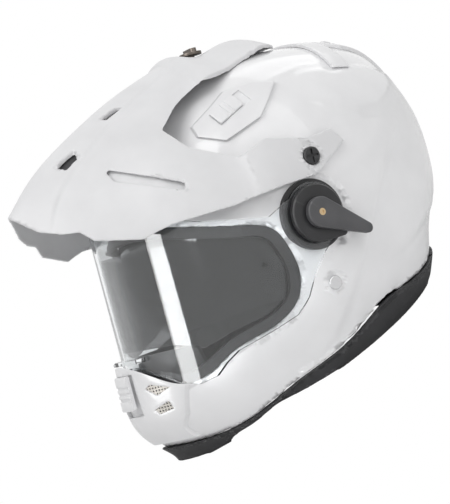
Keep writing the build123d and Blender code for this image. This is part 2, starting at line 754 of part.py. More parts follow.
# chin vent
chin_outline = mirrored(at_front(CHIN_VENT_SHARES))
grille_windows = []
grille_middles = []
for shares in (UPPER_GRILLE_SHARES, LOWER_GRILLE_SHARES):
    points = at_front(shares)
    for side in (1, -1):
        corners = [(side * x, z) for x, z in points]
        grille_windows.append(prism(FRONT, corners, CHIN_REACH + OVERRUN))
        grille_middles.append(sum((Vector(x, 0, z) for x, z in corners), Vector()) / len(corners))

slider_edge = CHIN_SLIDER_HALF_WIDTH + SLIDE_GAP
slider_top = -CHIN_SLIDER_TOP + SLIDE_GAP
slider_bottom = -CHIN_SLIDER_TOP - CHIN_SLIDER_LENGTH - CHIN_SLIDE_TRAVEL - SLIDE_GAP
slider_window = [
    (slider_edge, slider_top),
    (slider_edge, slider_bottom),
    (-slider_edge, slider_bottom),
    (-slider_edge, slider_top),
]
with BuildPart() as chin_vent_housing:
    add(proud_layer)
    add(prism(FRONT, chin_outline, CHIN_REACH + OVERRUN), mode=Mode.INTERSECT)
    add(port, mode=Mode.SUBTRACT)
    add(below_skirt, mode=Mode.SUBTRACT)
    for window in grille_windows:
        add(window, mode=Mode.SUBTRACT)
    add(prism(FRONT, slider_window, CHIN_REACH + OVERRUN), mode=Mode.SUBTRACT)

grille_plates = []
for window, middle in zip(grille_windows, grille_middles):
    skin = plane_on(outer_form, worn_point(*middle), FORWARD, UPWARD)
    with BuildPart() as plate:
        with BuildSketch(skin.offset(MESH_RISE)):
            Rectangle(GRILLE_SIZE, GRILLE_SIZE)
            holes = round(GRILLE_SIZE / MESH_PITCH)
            with GridLocations(MESH_PITCH, MESH_PITCH, holes, holes):
                Circle(MESH_HOLE_RADIUS, mode=Mode.SUBTRACT)
        extrude(amount=MESH_WALL)
        add(window, mode=Mode.INTERSECT)
    grille_plates.append(plate.part)

with BuildPart() as chin_vent_mesh:
    for plate in grille_plates:
        add(plate)

with BuildPart() as chin_vent_slider:
    slider_middle = -CHIN_SLIDER_TOP - CHIN_SLIDER_LENGTH / 2
    slider_plane = Plane(
        origin=worn_point(0, -CHIN_SLIDER_FACE, slider_middle),
        x_dir=UPWARD,
        z_dir=FORWARD,
    )
    add(slider(slider_plane, CHIN_SLIDER_LENGTH, 2 * CHIN_SLIDER_HALF_WIDTH, CHIN_SLIDER_HEIGHT))

# top vents
side_start = worn_point(0, TOP_VENT_BACK, TOP_VENT_RISE)
vent_skin = plane_on(outer_form, side_start, (1, 0, 0), BACKWARD, TOP_VENT_TURN)
vent_plane = vent_skin.offset(VENT_FLOOR)
recess_length = TOP_SLIDER_LENGTH + SLIDE_TRAVEL + 2 * SLIDE_GAP
with BuildPart() as vent_recess:
    with BuildSketch(vent_plane):
        Rectangle(recess_length, TOP_SLIDER_WIDTH + 2 * SLIDE_GAP)
    extrude(amount=OVERRUN)

with BuildPart() as top_vent_housing_left:
    add(proud_layer)
    add(side_prism(TOP_VENT_SHARES), mode=Mode.INTERSECT)
    split(bisect_by=Plane.YZ, keep=Keep.TOP)
    add(vent_recess.part, mode=Mode.SUBTRACT)

with BuildPart() as top_vent_housing_right:
    add(proud_layer)
    add(side_prism(TOP_VENT_SHARES), mode=Mode.INTERSECT)
    split(bisect_by=Plane.YZ, keep=Keep.BOTTOM)
    mirror(vent_recess.part, about=Plane.YZ, mode=Mode.SUBTRACT)

with BuildPart() as top_vent_slider_left:
    shut = moved_along(vent_plane, -SLIDE_TRAVEL / 2, SLIDE_GAP)
    add(slider(shut, TOP_SLIDER_LENGTH, TOP_SLIDER_WIDTH, TOP_SLIDER_HEIGHT))

with BuildPart() as top_vent_slider_right:
    mirror(top_vent_slider_left.part, about=Plane.YZ)

# rear vent
with BuildPart() as rear_vent_bridge:
    add(proud_layer)
    add(side_prism(REAR_BRIDGE_SHARES), mode=Mode.INTERSECT)

rear_plan = mirrored(in_plan(REAR_PLATE_PLAN_SHARES, SHELL_HALF_WIDTH, NAPE_REACH))
rear_skin = plane_on(outer_form, worn_point(0, REAR_VENT_BACK, 0), UPWARD, BACKWARD)
rear_plane = rear_skin.offset(VENT_FLOOR)
with BuildPart() as rear_vent_housing:
    add(proud_layer)
    add(side_prism(REAR_PLATE_SHARES), mode=Mode.INTERSECT)
    add(prism(LEVEL, rear_plan, CROWN_RISE + OVERRUN), mode=Mode.INTERSECT)
    with BuildSketch(rear_plane):
        Rectangle(
            REAR_SLIDER_LENGTH + SLIDE_TRAVEL + 2 * SLIDE_GAP,
            REAR_SLIDER_WIDTH + 2 * SLIDE_GAP,
        )
    extrude(amount=OVERRUN, mode=Mode.SUBTRACT)

with BuildPart() as rear_vent_slider:
    shut = moved_along(rear_plane, -SLIDE_TRAVEL / 2, SLIDE_GAP)
    add(slider(shut, REAR_SLIDER_LENGTH, REAR_SLIDER_WIDTH, TOP_SLIDER_HEIGHT))

# hinge stack
shaft_bore = hinge_disc(BASE_ROOT, OVERRUN, SHAFT_RADIUS + BORE_CLEARANCE)
with BuildPart() as shield_base_left:
    add(hinge_disc(BASE_ROOT, POCKET_FACE - BASE_ROOT, BASE_RADIUS))
    add(outer_form, mode=Mode.SUBTRACT)
    add(hinge_disc(POCKET_FACE, BASE_THICKNESS, BASE_RADIUS))
    add(hinge_disc(BASE_FACE, COVER_ROOT - BASE_FACE, HUB_RADIUS))
    add(hinge_disc(TUBE_FACE, BASE_FACE - TUBE_FACE, TUBE_RADIUS - BORE_CLEARANCE))
    add(shaft_bore, mode=Mode.SUBTRACT)

with BuildPart() as shield_base_right:
    mirror(shield_base_left.part, about=Plane.YZ)

with BuildPart() as hinge_cover_left:
    with BuildSketch(SIDE.offset(COVER_ROOT)):
        Circle(COVER_RADIUS)
        with Locations((COVER_RADIUS * 0.8, -COVER_RADIUS * 0.8)):
            Circle(COVER_LUG_RADIUS)
        make_hull()
    extrude(amount=COVER_THICKNESS)
    chamfer(hinge_cover_left.faces().sort_by(Axis.X)[-1].edges(), COVER_CHAMFER)
    add(shaft_bore, mode=Mode.SUBTRACT)

with BuildPart() as hinge_cover_right:
    mirror(hinge_cover_left.part, about=Plane.YZ)

# face shield and what is fixed to it
pin_across, pin_along, pin_drop = PIN_SHARES
pin_place = (pin_across * EAR_FACE, -pin_along * SHIELD_REACH, -pin_drop * SKIRT_DROP)
pin_facing = worn_way(*PIN_FACING)
pin_plane = Plane(origin=worn_point(*pin_place) + pin_facing * PIN_PROUD, z_dir=-pin_facing)


def pin(radius, length):
    """A round piece that goes inward through the left end of the shield."""
    with BuildPart() as rod:
        with BuildSketch(pin_plane):
            Circle(radius)
        extrude(amount=length)
    return rod.part


pin_length = 2 * PIN_PROUD + SHIELD_WALL + INSERT_GAP + INSERT_WALL
pin_hole = pin(PIN_RADIUS + BORE_CLEARANCE, OVERRUN / 2)
with BuildPart() as shield_lip:
    add(layer(shield_block(-LIP_DEPTH), shield_block(SHIELD_WALL / 2)))
    lip_edges = [
        (LIP_HALF_WIDTH, -LIP_DROP),
        (LIP_HALF_WIDTH, -LIP_DROP - LIP_THICKNESS),
        (-LIP_HALF_WIDTH, -LIP_DROP - LIP_THICKNESS),
        (-LIP_HALF_WIDTH, -LIP_DROP),
    ]
    add(prism(FRONT, lip_edges, CHIN_REACH + OVERRUN), mode=Mode.INTERSECT)

with BuildPart() as face_shield:
    add(layer(shield_block(0), shield_block(SHIELD_WALL)))
    add(side_prism(SHIELD_SHARES), mode=Mode.INTERSECT)
    add(shield_lip.part)
    ear = hinge_disc(EAR_ROOT, SHIELD_WALL, EAR_RADIUS)
    ear_bore = hinge_disc(EAR_ROOT, SHIELD_WALL, HUB_RADIUS + BORE_CLEARANCE)
    add(ear)
    mirror(ear, about=Plane.YZ)
    for cutter in (ear_bore, pin_hole):
        add(cutter, mode=Mode.SUBTRACT)
        mirror(cutter, about=Plane.YZ, mode=Mode.SUBTRACT)

with BuildPart() as anti_fog_insert:
    insert_face = SHIELD_WALL + INSERT_GAP
    add(layer(shield_block(insert_face), shield_block(insert_face + INSERT_WALL)))
    add(side_prism(INSERT_SHARES), mode=Mode.INTERSECT)
    add(pin_hole, mode=Mode.SUBTRACT)
    mirror(pin_hole, about=Plane.YZ, mode=Mode.SUBTRACT)

with BuildPart() as insert_pins:
    add(pin(PIN_RADIUS, pin_length))
    mirror(pin(PIN_RADIUS, pin_length), about=Plane.YZ)

# sun visor and what turns with it
with BuildPart() as sun_visor:
    add(layer(turned(0), turned(VISOR_WALL)))
    add(side_prism(VISOR_SHARES), mode=Mode.INTERSECT)
    visor_ear = hinge_disc(VISOR_EAR_FACE - VISOR_WALL, VISOR_WALL, VISOR_EAR_RADIUS)
    add(visor_ear)
    mirror(visor_ear, about=Plane.YZ)

shaft = hinge_disc(VISOR_EAR_FACE, LEVER_ROOT - VISOR_EAR_FACE, SHAFT_RADIUS)
droop = radians(LEVER_DROOP)
lever_tip = (LEVER_LENGTH * cos(droop), -LEVER_LENGTH * sin(droop))
with BuildPart() as visor_lever:
    with BuildSketch(SIDE.offset(LEVER_ROOT)):
        Circle(LEVER_BOSS_RADIUS)
        with Locations(lever_tip):
            Circle(LEVER_TIP_RADIUS)
        make_hull()
    extrude(amount=LEVER_THICKNESS)
    chamfer(visor_lever.faces().sort_by(Axis.X)[-1].edges(), LEVER_CHAMFER)
    add(shaft)
    add(
        hinge_disc(LEVER_FACE - LEVER_SCREW_HEAD, OVERRUN, LEVER_SCREW_RADIUS),
        mode=Mode.SUBTRACT,
    )

with BuildPart() as lever_screw:
    add(hinge_disc(LEVER_FACE - LEVER_SCREW_HEAD, LEVER_SCREW_HEAD, LEVER_SCREW_RADIUS))
    with BuildSketch(SIDE.offset(LEVER_FACE)):
        RegularPolygon(HEX_SOCKET_RADIUS, 6)
    extrude(amount=-LEVER_SCREW_HEAD / 2, mode=Mode.SUBTRACT)

with BuildPart() as hinge_cap_left:
    add(hinge_disc(LEVER_ROOT, LEVER_THICKNESS, LEVER_BOSS_RADIUS))
    chamfer(hinge_cap_left.faces().sort_by(Axis.X)[-1].edges(), LEVER_CHAMFER)
    add(shaft)

with BuildPart() as hinge_cap_right:
    mirror(hinge_cap_left.part, about=Plane.YZ)

# peak, its brackets and its screws
with BuildPart() as peak_tongue:
    add(canopy(TONGUE_ROWS_SHARES, TONGUE_SIDE_SHARES))
    tongue_plan = mirrored(in_plan(TONGUE_PLAN_SHARES, TONGUE_HALF_WIDTH, TONGUE_REACH))
    add(prism(LEVEL, tongue_plan, CROWN_RISE + OVERRUN), mode=Mode.INTERSECT)

with BuildPart() as peak:
    add(canopy(BLADE_ROWS_SHARES, BLADE_SIDE_SHARES))
    add(canopy(ARM_ROWS_SHARES, ARM_SIDE_SHARES))
    add(peak_tongue.part)
    boss_root = SOCKET_FACE + SEAT_GAP
    boss = hinge_disc(boss_root, SIDE_SCREW_FACE - boss_root, PEAK_BOSS_RADIUS, *screw_place)
    add(boss)
    mirror(boss, about=Plane.YZ)
    add(side_prism(SCOOP_SHARES), mode=Mode.SUBTRACT)
    for shares in (PEAK_SLOT_SHARES, PEAK_WINDOW_SHARES):
        opening = prism(LEVEL, in_plan(shares, SHELL_HALF_WIDTH, CHIN_REACH), CROWN_RISE + OVERRUN)
        add(opening, mode=Mode.SUBTRACT)
        mirror(opening, about=Plane.YZ, mode=Mode.SUBTRACT)
    with BuildSketch(LEVEL):
        with Locations((0, KNOB_BACK)):
            SlotOverall(KNOB_SLOT_LENGTH, 2 * KNOB_SLOT_HALF_WIDTH, rotation=90)
    extrude(amount=CROWN_RISE + OVERRUN, mode=Mode.SUBTRACT)
    head_room = SIDE_SCREW_HEAD_RADIUS + SEAT_GAP
    for cutter in (
        hinge_disc(SIDE_SCREW_FACE, OVERRUN, head_room, *screw_place),
        hinge_disc(BASE_ROOT, OVERRUN, SIDE_SCREW_RADIUS + BORE_CLEARANCE, *screw_place),
    ):
        add(cutter, mode=Mode.SUBTRACT)
        mirror(cutter, about=Plane.YZ, mode=Mode.SUBTRACT)

foot_start = (BRACKET_FOOT_HALF_WIDTH, KNOB_BACK - BRACKET_FOOT_LENGTH / 2)
foot_end = (BRACKET_FOOT_HALF_WIDTH, KNOB_BACK + BRACKET_FOOT_LENGTH / 2)
with BuildPart() as bracket_foot:
    add(proud_layer)
    add(
        prism(LEVEL, mirrored([foot_start, foot_end]), CROWN_RISE + OVERRUN),
        mode=Mode.INTERSECT,
    )

with BuildPart() as peak_top_bracket:
    with BuildSketch(LEVEL.offset(BRACKET_FACE)):
        with Locations((0, KNOB_BACK)):
            Circle(BRACKET_RADIUS)
    extrude(amount=-2 * BRACKET_RADIUS)
    add(outer_form, mode=Mode.SUBTRACT)
    add(bracket_foot.part)
    with BuildSketch(LEVEL.offset(BRACKET_FACE)):
        with Locations((0, KNOB_BACK)):
            Circle(KNOB_SHAFT_RADIUS + BORE_CLEARANCE)
    extrude(amount=-BRACKET_GRIP, mode=Mode.SUBTRACT)

with BuildPart() as peak_top_screw:
    with BuildSketch(LEVEL.offset(KNOB_FACE)):
        with Locations((0, KNOB_BACK)):
            Circle(KNOB_RADIUS)
    extrude(amount=KNOB_HEIGHT - KNOB_WING_HEIGHT)
    with BuildSketch(LEVEL.offset(KNOB_FACE)):
        with Locations((0, KNOB_BACK)):
            SlotOverall(KNOB_WING_LENGTH, KNOB_WING_WIDTH)
    extrude(amount=KNOB_HEIGHT)
    with BuildSketch(LEVEL.offset(KNOB_FACE)):
        with Locations((0, KNOB_BACK)):
            Circle(KNOB_SHAFT_RADIUS)
    extrude(amount=BRACKET_FACE - BRACKET_GRIP + SEAT_GAP - KNOB_FACE)

with BuildPart() as peak_socket_left:
    socket_length = SOCKET_FACE - SOCKET_END
    add(hinge_disc(SOCKET_END, socket_length, SOCKET_RADIUS - BORE_CLEARANCE, *screw_place))
    add(
        hinge_disc(BASE_ROOT, OVERRUN, SIDE_SCREW_RADIUS + BORE_CLEARANCE, *screw_place),
        mode=Mode.SUBTRACT,
    )

with BuildPart() as peak_socket_right:
    mirror(peak_socket_left.part, about=Plane.YZ)

screw_seat = SIDE_SCREW_FACE + SIDE_SCREW_GAP
with BuildPart() as peak_side_screw_left:
    add(hinge_disc(screw_seat, SIDE_SCREW_HEAD, SIDE_SCREW_HEAD_RADIUS, *screw_place))
    chamfer(
        peak_side_screw_left.faces().sort_by(Axis.X)[-1].edges(),
        (SIDE_SCREW_HEAD - CROSS_SLOT_DEPTH) / 2,
    )
    with BuildSketch(SIDE.offset(screw_seat + SIDE_SCREW_HEAD)):
        with Locations(screw_place):
            Rectangle(1.5 * SIDE_SCREW_HEAD_RADIUS, CROSS_SLOT_WIDTH)
            Rectangle(CROSS_SLOT_WIDTH, 1.5 * SIDE_SCREW_HEAD_RADIUS)
    extrude(amount=-CROSS_SLOT_DEPTH, mode=Mode.SUBTRACT)
    add(hinge_disc(SIDE_SCREW_END, screw_seat - SIDE_SCREW_END, SIDE_SCREW_RADIUS, *screw_place))

with BuildPart() as peak_side_screw_right:
    mirror(peak_side_screw_left.part, about=Plane.YZ)

# chin strap
flange_face = STRAP_FACE - STRAP_THICKNESS / 2
with BuildPart() as strap_rivet_left:
    add(hinge_disc(RIVET_FACE, RIVET_HEAD, RIVET_HEAD_RADIUS, *rivet_place))
    fillet(strap_rivet_left.faces().sort_by(Axis.X)[-1].edges(), RIVET_HEAD / 2)
    add(hinge_disc(flange_face - RIVET_FLANGE, RIVET_FLANGE, RIVET_FLANGE_RADIUS, *rivet_place))
    shank_radius = RIVET_RADIUS - BORE_CLEARANCE
    add(hinge_disc(flange_face, RIVET_FACE - flange_face, shank_radius, *rivet_place))

with BuildPart() as strap_rivet_right:
    mirror(strap_rivet_left.part, about=Plane.YZ)

rivet_bore = hinge_disc(BASE_ROOT, OVERRUN, RIVET_RADIUS, *rivet_place)
with BuildPart() as chin_strap_left:
    add(strap(RECEIVER_EDGE, STRAP_THICKNESS, STRAP_WIDTH))
    add(rivet_bore, mode=Mode.SUBTRACT)

plate_edge = TONGUE_PLATE_LENGTH - (RECEIVER_LENGTH - RECEIVER_EDGE) + TONGUE_PLATE_OVERHANG
with BuildPart() as chin_strap_right:
    mirror(strap(plate_edge, STRAP_THICKNESS, STRAP_WIDTH), about=Plane.YZ)
    mirror(rivet_bore, about=Plane.YZ, mode=Mode.SUBTRACT)

with BuildPart() as buckle_receiver:
    with BuildSketch(STRAP_PLANE):
        with Locations((RECEIVER_EDGE - RECEIVER_LENGTH / 2, -STRAP_DROP)):
            Rectangle(RECEIVER_LENGTH, RECEIVER_THICKNESS)
    extrude(amount=RECEIVER_WIDTH / 2, both=True)
    with BuildSketch(STRAP_PLANE):
        with Locations((RECEIVER_EDGE - RECEIVER_LENGTH, -STRAP_DROP)):
            slot_depth = 2 * (RECEIVER_LENGTH - 2 * LATCH_EAR_RADIUS)
            Rectangle(slot_depth, TONGUE_PLATE_THICKNESS + 2 * TONGUE_PLATE_GAP)
    extrude(amount=TONGUE_PLATE_WIDTH / 2 + TONGUE_PLATE_GAP, both=True, mode=Mode.SUBTRACT)
    with BuildSketch(STRAP_PLANE):
        with Locations((LATCH_PIN_PLACE, -STRAP_DROP)):
            Circle(LATCH_PIN_RADIUS)
    extrude(amount=RECEIVER_WIDTH, both=True, mode=Mode.SUBTRACT)

with BuildPart() as buckle_tongue:
    with BuildSketch(STRAP_PLANE):
        with Locations((TONGUE_PLATE_LENGTH / 2 - plate_edge, -STRAP_DROP)):
            Rectangle(TONGUE_PLATE_LENGTH, TONGUE_PLATE_THICKNESS)
    extrude(amount=TONGUE_PLATE_WIDTH / 2, both=True)

ear_seat = RECEIVER_WIDTH / 2 + BUCKLE_EAR_GAP
latch_face = -STRAP_DROP - RECEIVER_THICKNESS / 2 - LATCH_GAP
with BuildPart() as buckle_latch:
    with BuildSketch(STRAP_PLANE):
        latch_end = LATCH_PIN_PLACE - LATCH_EAR_RADIUS / 2
        with Locations((latch_end, latch_face)):
            Rectangle(LATCH_LENGTH, LATCH_THICKNESS, align=(Align.MAX, Align.MAX))
    extrude(amount=ear_seat + LATCH_EAR_WALL, both=True)
    for side in (1, -1):
        with BuildSketch(STRAP_PLANE.offset(side * ear_seat)):
            with Locations((LATCH_PIN_PLACE, -STRAP_DROP)):
                Circle(LATCH_EAR_RADIUS)
            with Locations((latch_end, latch_face)):
                foot_size = (2 * LATCH_EAR_RADIUS, LATCH_THICKNESS)
                Rectangle(*foot_size, align=(Align.MAX, Align.MAX))
            make_hull()
        extrude(amount=side * LATCH_EAR_WALL)
    with BuildSketch(STRAP_PLANE):
        with Locations((LATCH_PIN_PLACE, -STRAP_DROP)):
            Circle(LATCH_PIN_RADIUS + BORE_CLEARANCE)
    extrude(amount=RECEIVER_WIDTH, both=True, mode=Mode.SUBTRACT)

with BuildPart() as latch_pin:
    with BuildSketch(STRAP_PLANE):
        with Locations((LATCH_PIN_PLACE, -STRAP_DROP)):
            Circle(LATCH_PIN_RADIUS)
    extrude(amount=ear_seat + LATCH_EAR_WALL, both=True)

pieces = {
    "outer_shell": outer_shell,
    "eps_liner": eps_liner,
    "crown_pad": crown_pad,
    "chin_foam": chin_foam,
    "cheek_pad_left": cheek_pad_left,
    "cheek_pad_right": cheek_pad_right,
    "neck_roll": neck_roll,
    "base_trim": base_trim,
    "eye_port_gasket": eye_port_gasket,
    "breath_deflector": breath_deflector,
    "chin_vent_housing": chin_vent_housing,
    "chin_vent_mesh": chin_vent_mesh,
    "chin_vent_slider": chin_vent_slider,
    "top_vent_housing_left": top_vent_housing_left,
    "top_vent_housing_right": top_vent_housing_right,
    "top_vent_slider_left": top_vent_slider_left,
    "top_vent_slider_right": top_vent_slider_right,
    "rear_vent_bridge": rear_vent_bridge,
    "rear_vent_housing": rear_vent_housing,
    "rear_vent_slider": rear_vent_slider,
    "shield_base_left": shield_base_left,
    "shield_base_right": shield_base_right,
    "hinge_cover_left": hinge_cover_left,
    "hinge_cover_right": hinge_cover_right,
    "face_shield": face_shield,
    "anti_fog_insert": anti_fog_insert,
    "insert_pins": insert_pins,
    "sun_visor": sun_visor,
    "visor_lever": visor_lever,
    "lever_screw": lever_screw,
    "hinge_cap_right": hinge_cap_right,
    "peak": peak,
    "peak_top_bracket": peak_top_bracket,
    "peak_top_screw": peak_top_screw,
    "peak_socket_left": peak_socket_left,
    "peak_socket_right": peak_socket_right,
    "peak_side_screw_left": peak_side_screw_left,
    "peak_side_screw_right": peak_side_screw_right,
    "strap_rivet_left": strap_rivet_left,
    "strap_rivet_right": strap_rivet_right,
    "chin_strap_left": chin_strap_left,
    "chin_strap_right": chin_strap_right,
    "buckle_receiver": buckle_receiver,
    "buckle_tongue": buckle_tongue,
    "buckle_latch": buckle_latch,
    "latch_pin": latch_pin,
}
for name, piece in pieces.items():
    piece.part.label = name
    export_step(piece.part, f"parts/{name}.step")
    print(name, piece.part.is_valid, len(piece.part.solids()), round(piece.part.volume))
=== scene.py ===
import json
import math

import bpy
import numpy as np
from mathutils import Matrix, Vector
from mathutils.bvhtree import BVHTree


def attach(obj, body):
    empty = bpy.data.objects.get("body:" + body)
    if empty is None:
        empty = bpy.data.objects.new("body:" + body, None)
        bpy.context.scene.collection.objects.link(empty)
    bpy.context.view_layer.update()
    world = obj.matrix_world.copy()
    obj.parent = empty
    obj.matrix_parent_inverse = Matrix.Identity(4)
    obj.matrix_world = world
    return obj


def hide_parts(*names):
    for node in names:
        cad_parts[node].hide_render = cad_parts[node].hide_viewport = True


# Adventure riding helmet with a peak, a clear face shield and a drop-down sun visor. Metres.
# Places on the helmet are written in the wearer's frame, in millimetres: X to the wearer's left,
# Y to the back and Z up, with zero on the shield's hinge line.
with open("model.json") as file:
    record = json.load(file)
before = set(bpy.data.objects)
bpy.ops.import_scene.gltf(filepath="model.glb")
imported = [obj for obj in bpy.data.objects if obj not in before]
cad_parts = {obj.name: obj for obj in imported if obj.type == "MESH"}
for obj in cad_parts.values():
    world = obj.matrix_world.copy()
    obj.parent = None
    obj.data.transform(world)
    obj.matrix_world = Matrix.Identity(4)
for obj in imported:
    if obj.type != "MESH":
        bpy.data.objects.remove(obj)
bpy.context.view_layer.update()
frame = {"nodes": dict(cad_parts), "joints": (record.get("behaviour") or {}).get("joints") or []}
JOINTS = {joint["name"]: joint for joint in frame["joints"]}
HINGE = np.array(JOINTS["shield_hinge"]["pos_m"])
UPWARD = np.array(JOINTS["peak_top_screw_turn"]["axis"])
BACKWARD = np.array([0.0, UPWARD[2], -UPWARD[1]])
MM = 0.001
SIDES = (("left", 1), ("right", -1))

# the photograph's camera, aimed at the hinge line
PICTURE_WIDTH = 450
PICTURE_HEIGHT = 504
SENSOR = 36.0
VIEW_AZIMUTH = 62.11
VIEW_ELEVATION = 10.38
VIEW_ROLL = 34.17
VIEW_DISTANCE = 1.6
VIEW_LENS = 128.47
HINGE_COLUMN = 245.68
HINGE_ROW = 232.61

# the lamps: name, azimuth and elevation in degrees, distance, width and height in metres, watts
LAMPS = [
    ("Key panel", 30, 60, 1.8, 1.4, 1.0, 14),
    ("Side panel", 110, 30, 1.8, 1.0, 1.4, 5),
    ("Rear panel", 190, 40, 2.0, 1.2, 1.2, 4),
]
STRIP_LAMP = ("Strip panel", 16, 19, 1.6, 0.42, 1.5, 16)
AMBIENT_LIGHT = 0.45
FLOOR_SIZE = 8.0
WHITE = (1, 1, 1, 1)

# how meshes are joined and shaded
MERGE_DISTANCE = 2e-5
SMOOTH_ANGLE = math.radians(35)
SHEET_WALL = 1.0

# the even meshes of the reshaped pieces: the size of their faces
SHELL_MESH = 2.3
PEAK_MESH = 1.7
TRIM_MESH = 1.5
PAD_MESH = 4.0
STRAP_MESH = 0.9

# where the character lines of the shell run, in the side view
BODY_LINE = [(118, 62), (90, 38), (66, 6), (43, -32), (20, -70), (-2, -104)]
LOWER_LINE = [(150, -14), (137, -18), (96, -37), (68, -50), (36, -80), (0, -112)]
RIDGE_LINE = [(-2, 116), (20, 121), (46, 125), (71, 122), (109, 121), (140, 108)]
BOWL_LINE = [(150, 84), (136, 79), (107, 68), (76, 70), (52, 84)]

# the hollows and ridges along those lines: how deep they are, and where each begins and fades
SHELL_CARVE = 2.8
WAIST_DEPTH = 2.6
WAIST_BAND = ((1, 9), (26, 60))
WAIST_HEIGHT = ((-75, -40), (95, 125))
CHANNEL_DEPTH = 2.4
CHANNEL_BAND = ((1, 12), (20, 42))
CHANNEL_START = (20, 60)
PLATEAU_RISE = 2.2
PLATEAU_RIDGE = (0, 5)
PLATEAU_BOWL = (-2, 14)
PLATEAU_LENGTH = ((25, 70), (138, 160))
RIDGE_RISE = 0.9
RIDGE_MIDDLE = 1.5
RIDGE_WIDTH = 2.5
RIDGE_LENGTH = ((-5, 25), (105, 135))

# the parts of the shell that keep their CAD shape
HEAD_MIDDLE = (0, 30, 20)
OUTWARD_FACING = (0.25, 0.6)
FLANK = (40, 70)
HINGE_SEAT = (38, 55)
VENT_SEAT_BASE = (112, 122)
VENT_SEAT_SIDE = (88, 96)
VENT_SEAT_FRONT = (66, 72)

# the raised strip along the middle of the peak
STRIP_RISE = 1.1
STRIP_HALF = 29
STRIP_WAIST = 9
STRIP_WAIST_RUN = (-110, -30)
STRIP_FLARE = 6
STRIP_FLARE_RUN = (150, 240)
STRIP_INNER_EDGE = 2
STRIP_OUTER_EDGE = 1
STRIP_END = (-40, -20)
UPPER_FACING = (0.15, 0.5)

# the holes of the peak seen from above, the black sheets under them that are painted shade seen
# through the holes, and the side scoops
PEAK_HOLES = [
    [(15, -169.5), (24.6, -165), (25.8, -153), (18, -150)],
    [(15.6, -120), (24, -116.3), (27, -99), (19.8, -103.5)],
]
HOLE_SPREAD = 1.6
SHADE_SHEET_DROP = 4.5
SCOOP_LINE = [(-146, 84), (-128, 72), (-110, 62), (-92, 51)]
SCOOP_ROWS = (3, -19)
SCOOP_DEPTH = 6.0
OUTSIDE = 200

# the rubber edge, which stays flat where it stands on the floor
FLOOR_BAND = 0.4

# the pads: how they swell, draw in at the edges and are sewn; grooves are an axis and a place
PAD_CLEARANCE = 0.4
PAD_SWELL = 0.8
PAD_EDGE = (0.3, 2.5)
SEAM_DEPTH = 1.6
SEAM_WIDTH = 2.2
CROWN_GROOVES = [("y", 0), ("y", 60), ("x", 28)]
CHEEK_GROOVES = [("z", -45), ("y", -20)]
NECK_GROOVES = [("x", 45)]

# finishes
ROUGHNESS_SPREAD = 0.15
GRAIN_RELIEF = 0.0002
CLEAR_RELIEF = 0.0005
CLEAR_MOTTLE = 0.97
THREAD_RELIEF = 0.0004
COAT_ROUGHNESS = 0.03
PLASTIC_IOR = 1.5


def worn_point(x, y, z):
    """A place in the wearer's frame, in metres of the row frame."""
    return Vector(HINGE + MM * (np.array([x, 0, 0]) + y * BACKWARD + z * UPWARD))


def worn_coordinates(points):
    """Row-frame points as columns of the wearer's frame, in millimetres."""
    away = (points - HINGE) / MM
    return away[:, 0], away @ BACKWARD, away @ UPWARD


def select_only(piece):
    """Makes one object the active and only selected one."""
    bpy.ops.object.select_all(action="DESELECT")
    piece.select_set(True)
    bpy.context.view_layer.objects.active = piece


def vertices_of(mesh):
    """The mesh's vertices as an array."""
    flat = np.empty(len(mesh.vertices) * 3)
    mesh.vertices.foreach_get("co", flat)
    return flat.reshape(-1, 3)


def normals_of(mesh):
    """The mesh's vertex normals as an array."""
    flat = np.empty(len(mesh.vertices) * 3)
    mesh.vertex_normals.foreach_get("vector", flat)
    return flat.reshape(-1, 3)


def place_vertices(mesh, points):
    """Moves every vertex to its new place."""
    mesh.vertices.foreach_set("co", points.ravel())
    mesh.update()


def edges_of(mesh):
    """The mesh's edges as an array of vertex pairs."""
    flat = np.empty(len(mesh.edges) * 2, dtype=np.int64)
    mesh.edges.foreach_get("vertices", flat)
    return flat.reshape(-1, 2)


def relax(mesh, rounds, strength=0.5, keep=None):
    """Evens out small bumps, leaving the vertices marked in keep."""
    pairs = edges_of(mesh)
    points = vertices_of(mesh)
    count = np.zeros(len(points))
    for side in (0, 1):
        np.add.at(count, pairs[:, side], 1)
    for _ in range(rounds):
        total = np.zeros_like(points)
        np.add.at(total, pairs[:, 0], points[pairs[:, 1]])
        np.add.at(total, pairs[:, 1], points[pairs[:, 0]])
        moved = points + strength * (total / np.maximum(count, 1)[:, None] - points)
        if keep is not None:
            moved[keep] = points[keep]
        points = moved
    place_vertices(mesh, points)


def merged_copy(node, name):
    """A new object with a CAD node's mesh, its loose triangles joined up."""
    piece = bpy.data.objects.new(name, frame["nodes"][node].data.copy())
    bpy.context.scene.collection.objects.link(piece)
    piece.data.materials.clear()
    select_only(piece)
    bpy.ops.object.mode_set(mode="EDIT")
    bpy.ops.mesh.select_all(action="SELECT")
    bpy.ops.mesh.remove_doubles(threshold=MERGE_DISTANCE)
    bpy.ops.object.mode_set(mode="OBJECT")
    return piece


def surface_tree(piece):
    """A search tree over a piece's faces."""
    mesh = piece.data
    return BVHTree.FromPolygons(
        [v.co.copy() for v in mesh.vertices], [tuple(p.vertices) for p in mesh.polygons]
    )


def fine_copy(node, name, face_size, rounds=2):
    """A CAD node's shape on an even mesh, laid back on the exact surface."""
    piece = merged_copy(node, name)
    tree = surface_tree(piece)
    piece.data.remesh_voxel_size = face_size * MM
    bpy.ops.object.voxel_remesh()
    points = vertices_of(piece.data)
    for place, point in enumerate(points):
        points[place] = tree.find_nearest(Vector(point))[0]
    place_vertices(piece.data, points)
    if rounds:
        relax(piece.data, rounds)
    return piece


def push(piece, depth_mm):
    """Moves every vertex along its normal by its own depth in millimetres."""
    points = vertices_of(piece.data) + normals_of(piece.data) * (depth_mm * MM)[:, None]
    place_vertices(piece.data, points)


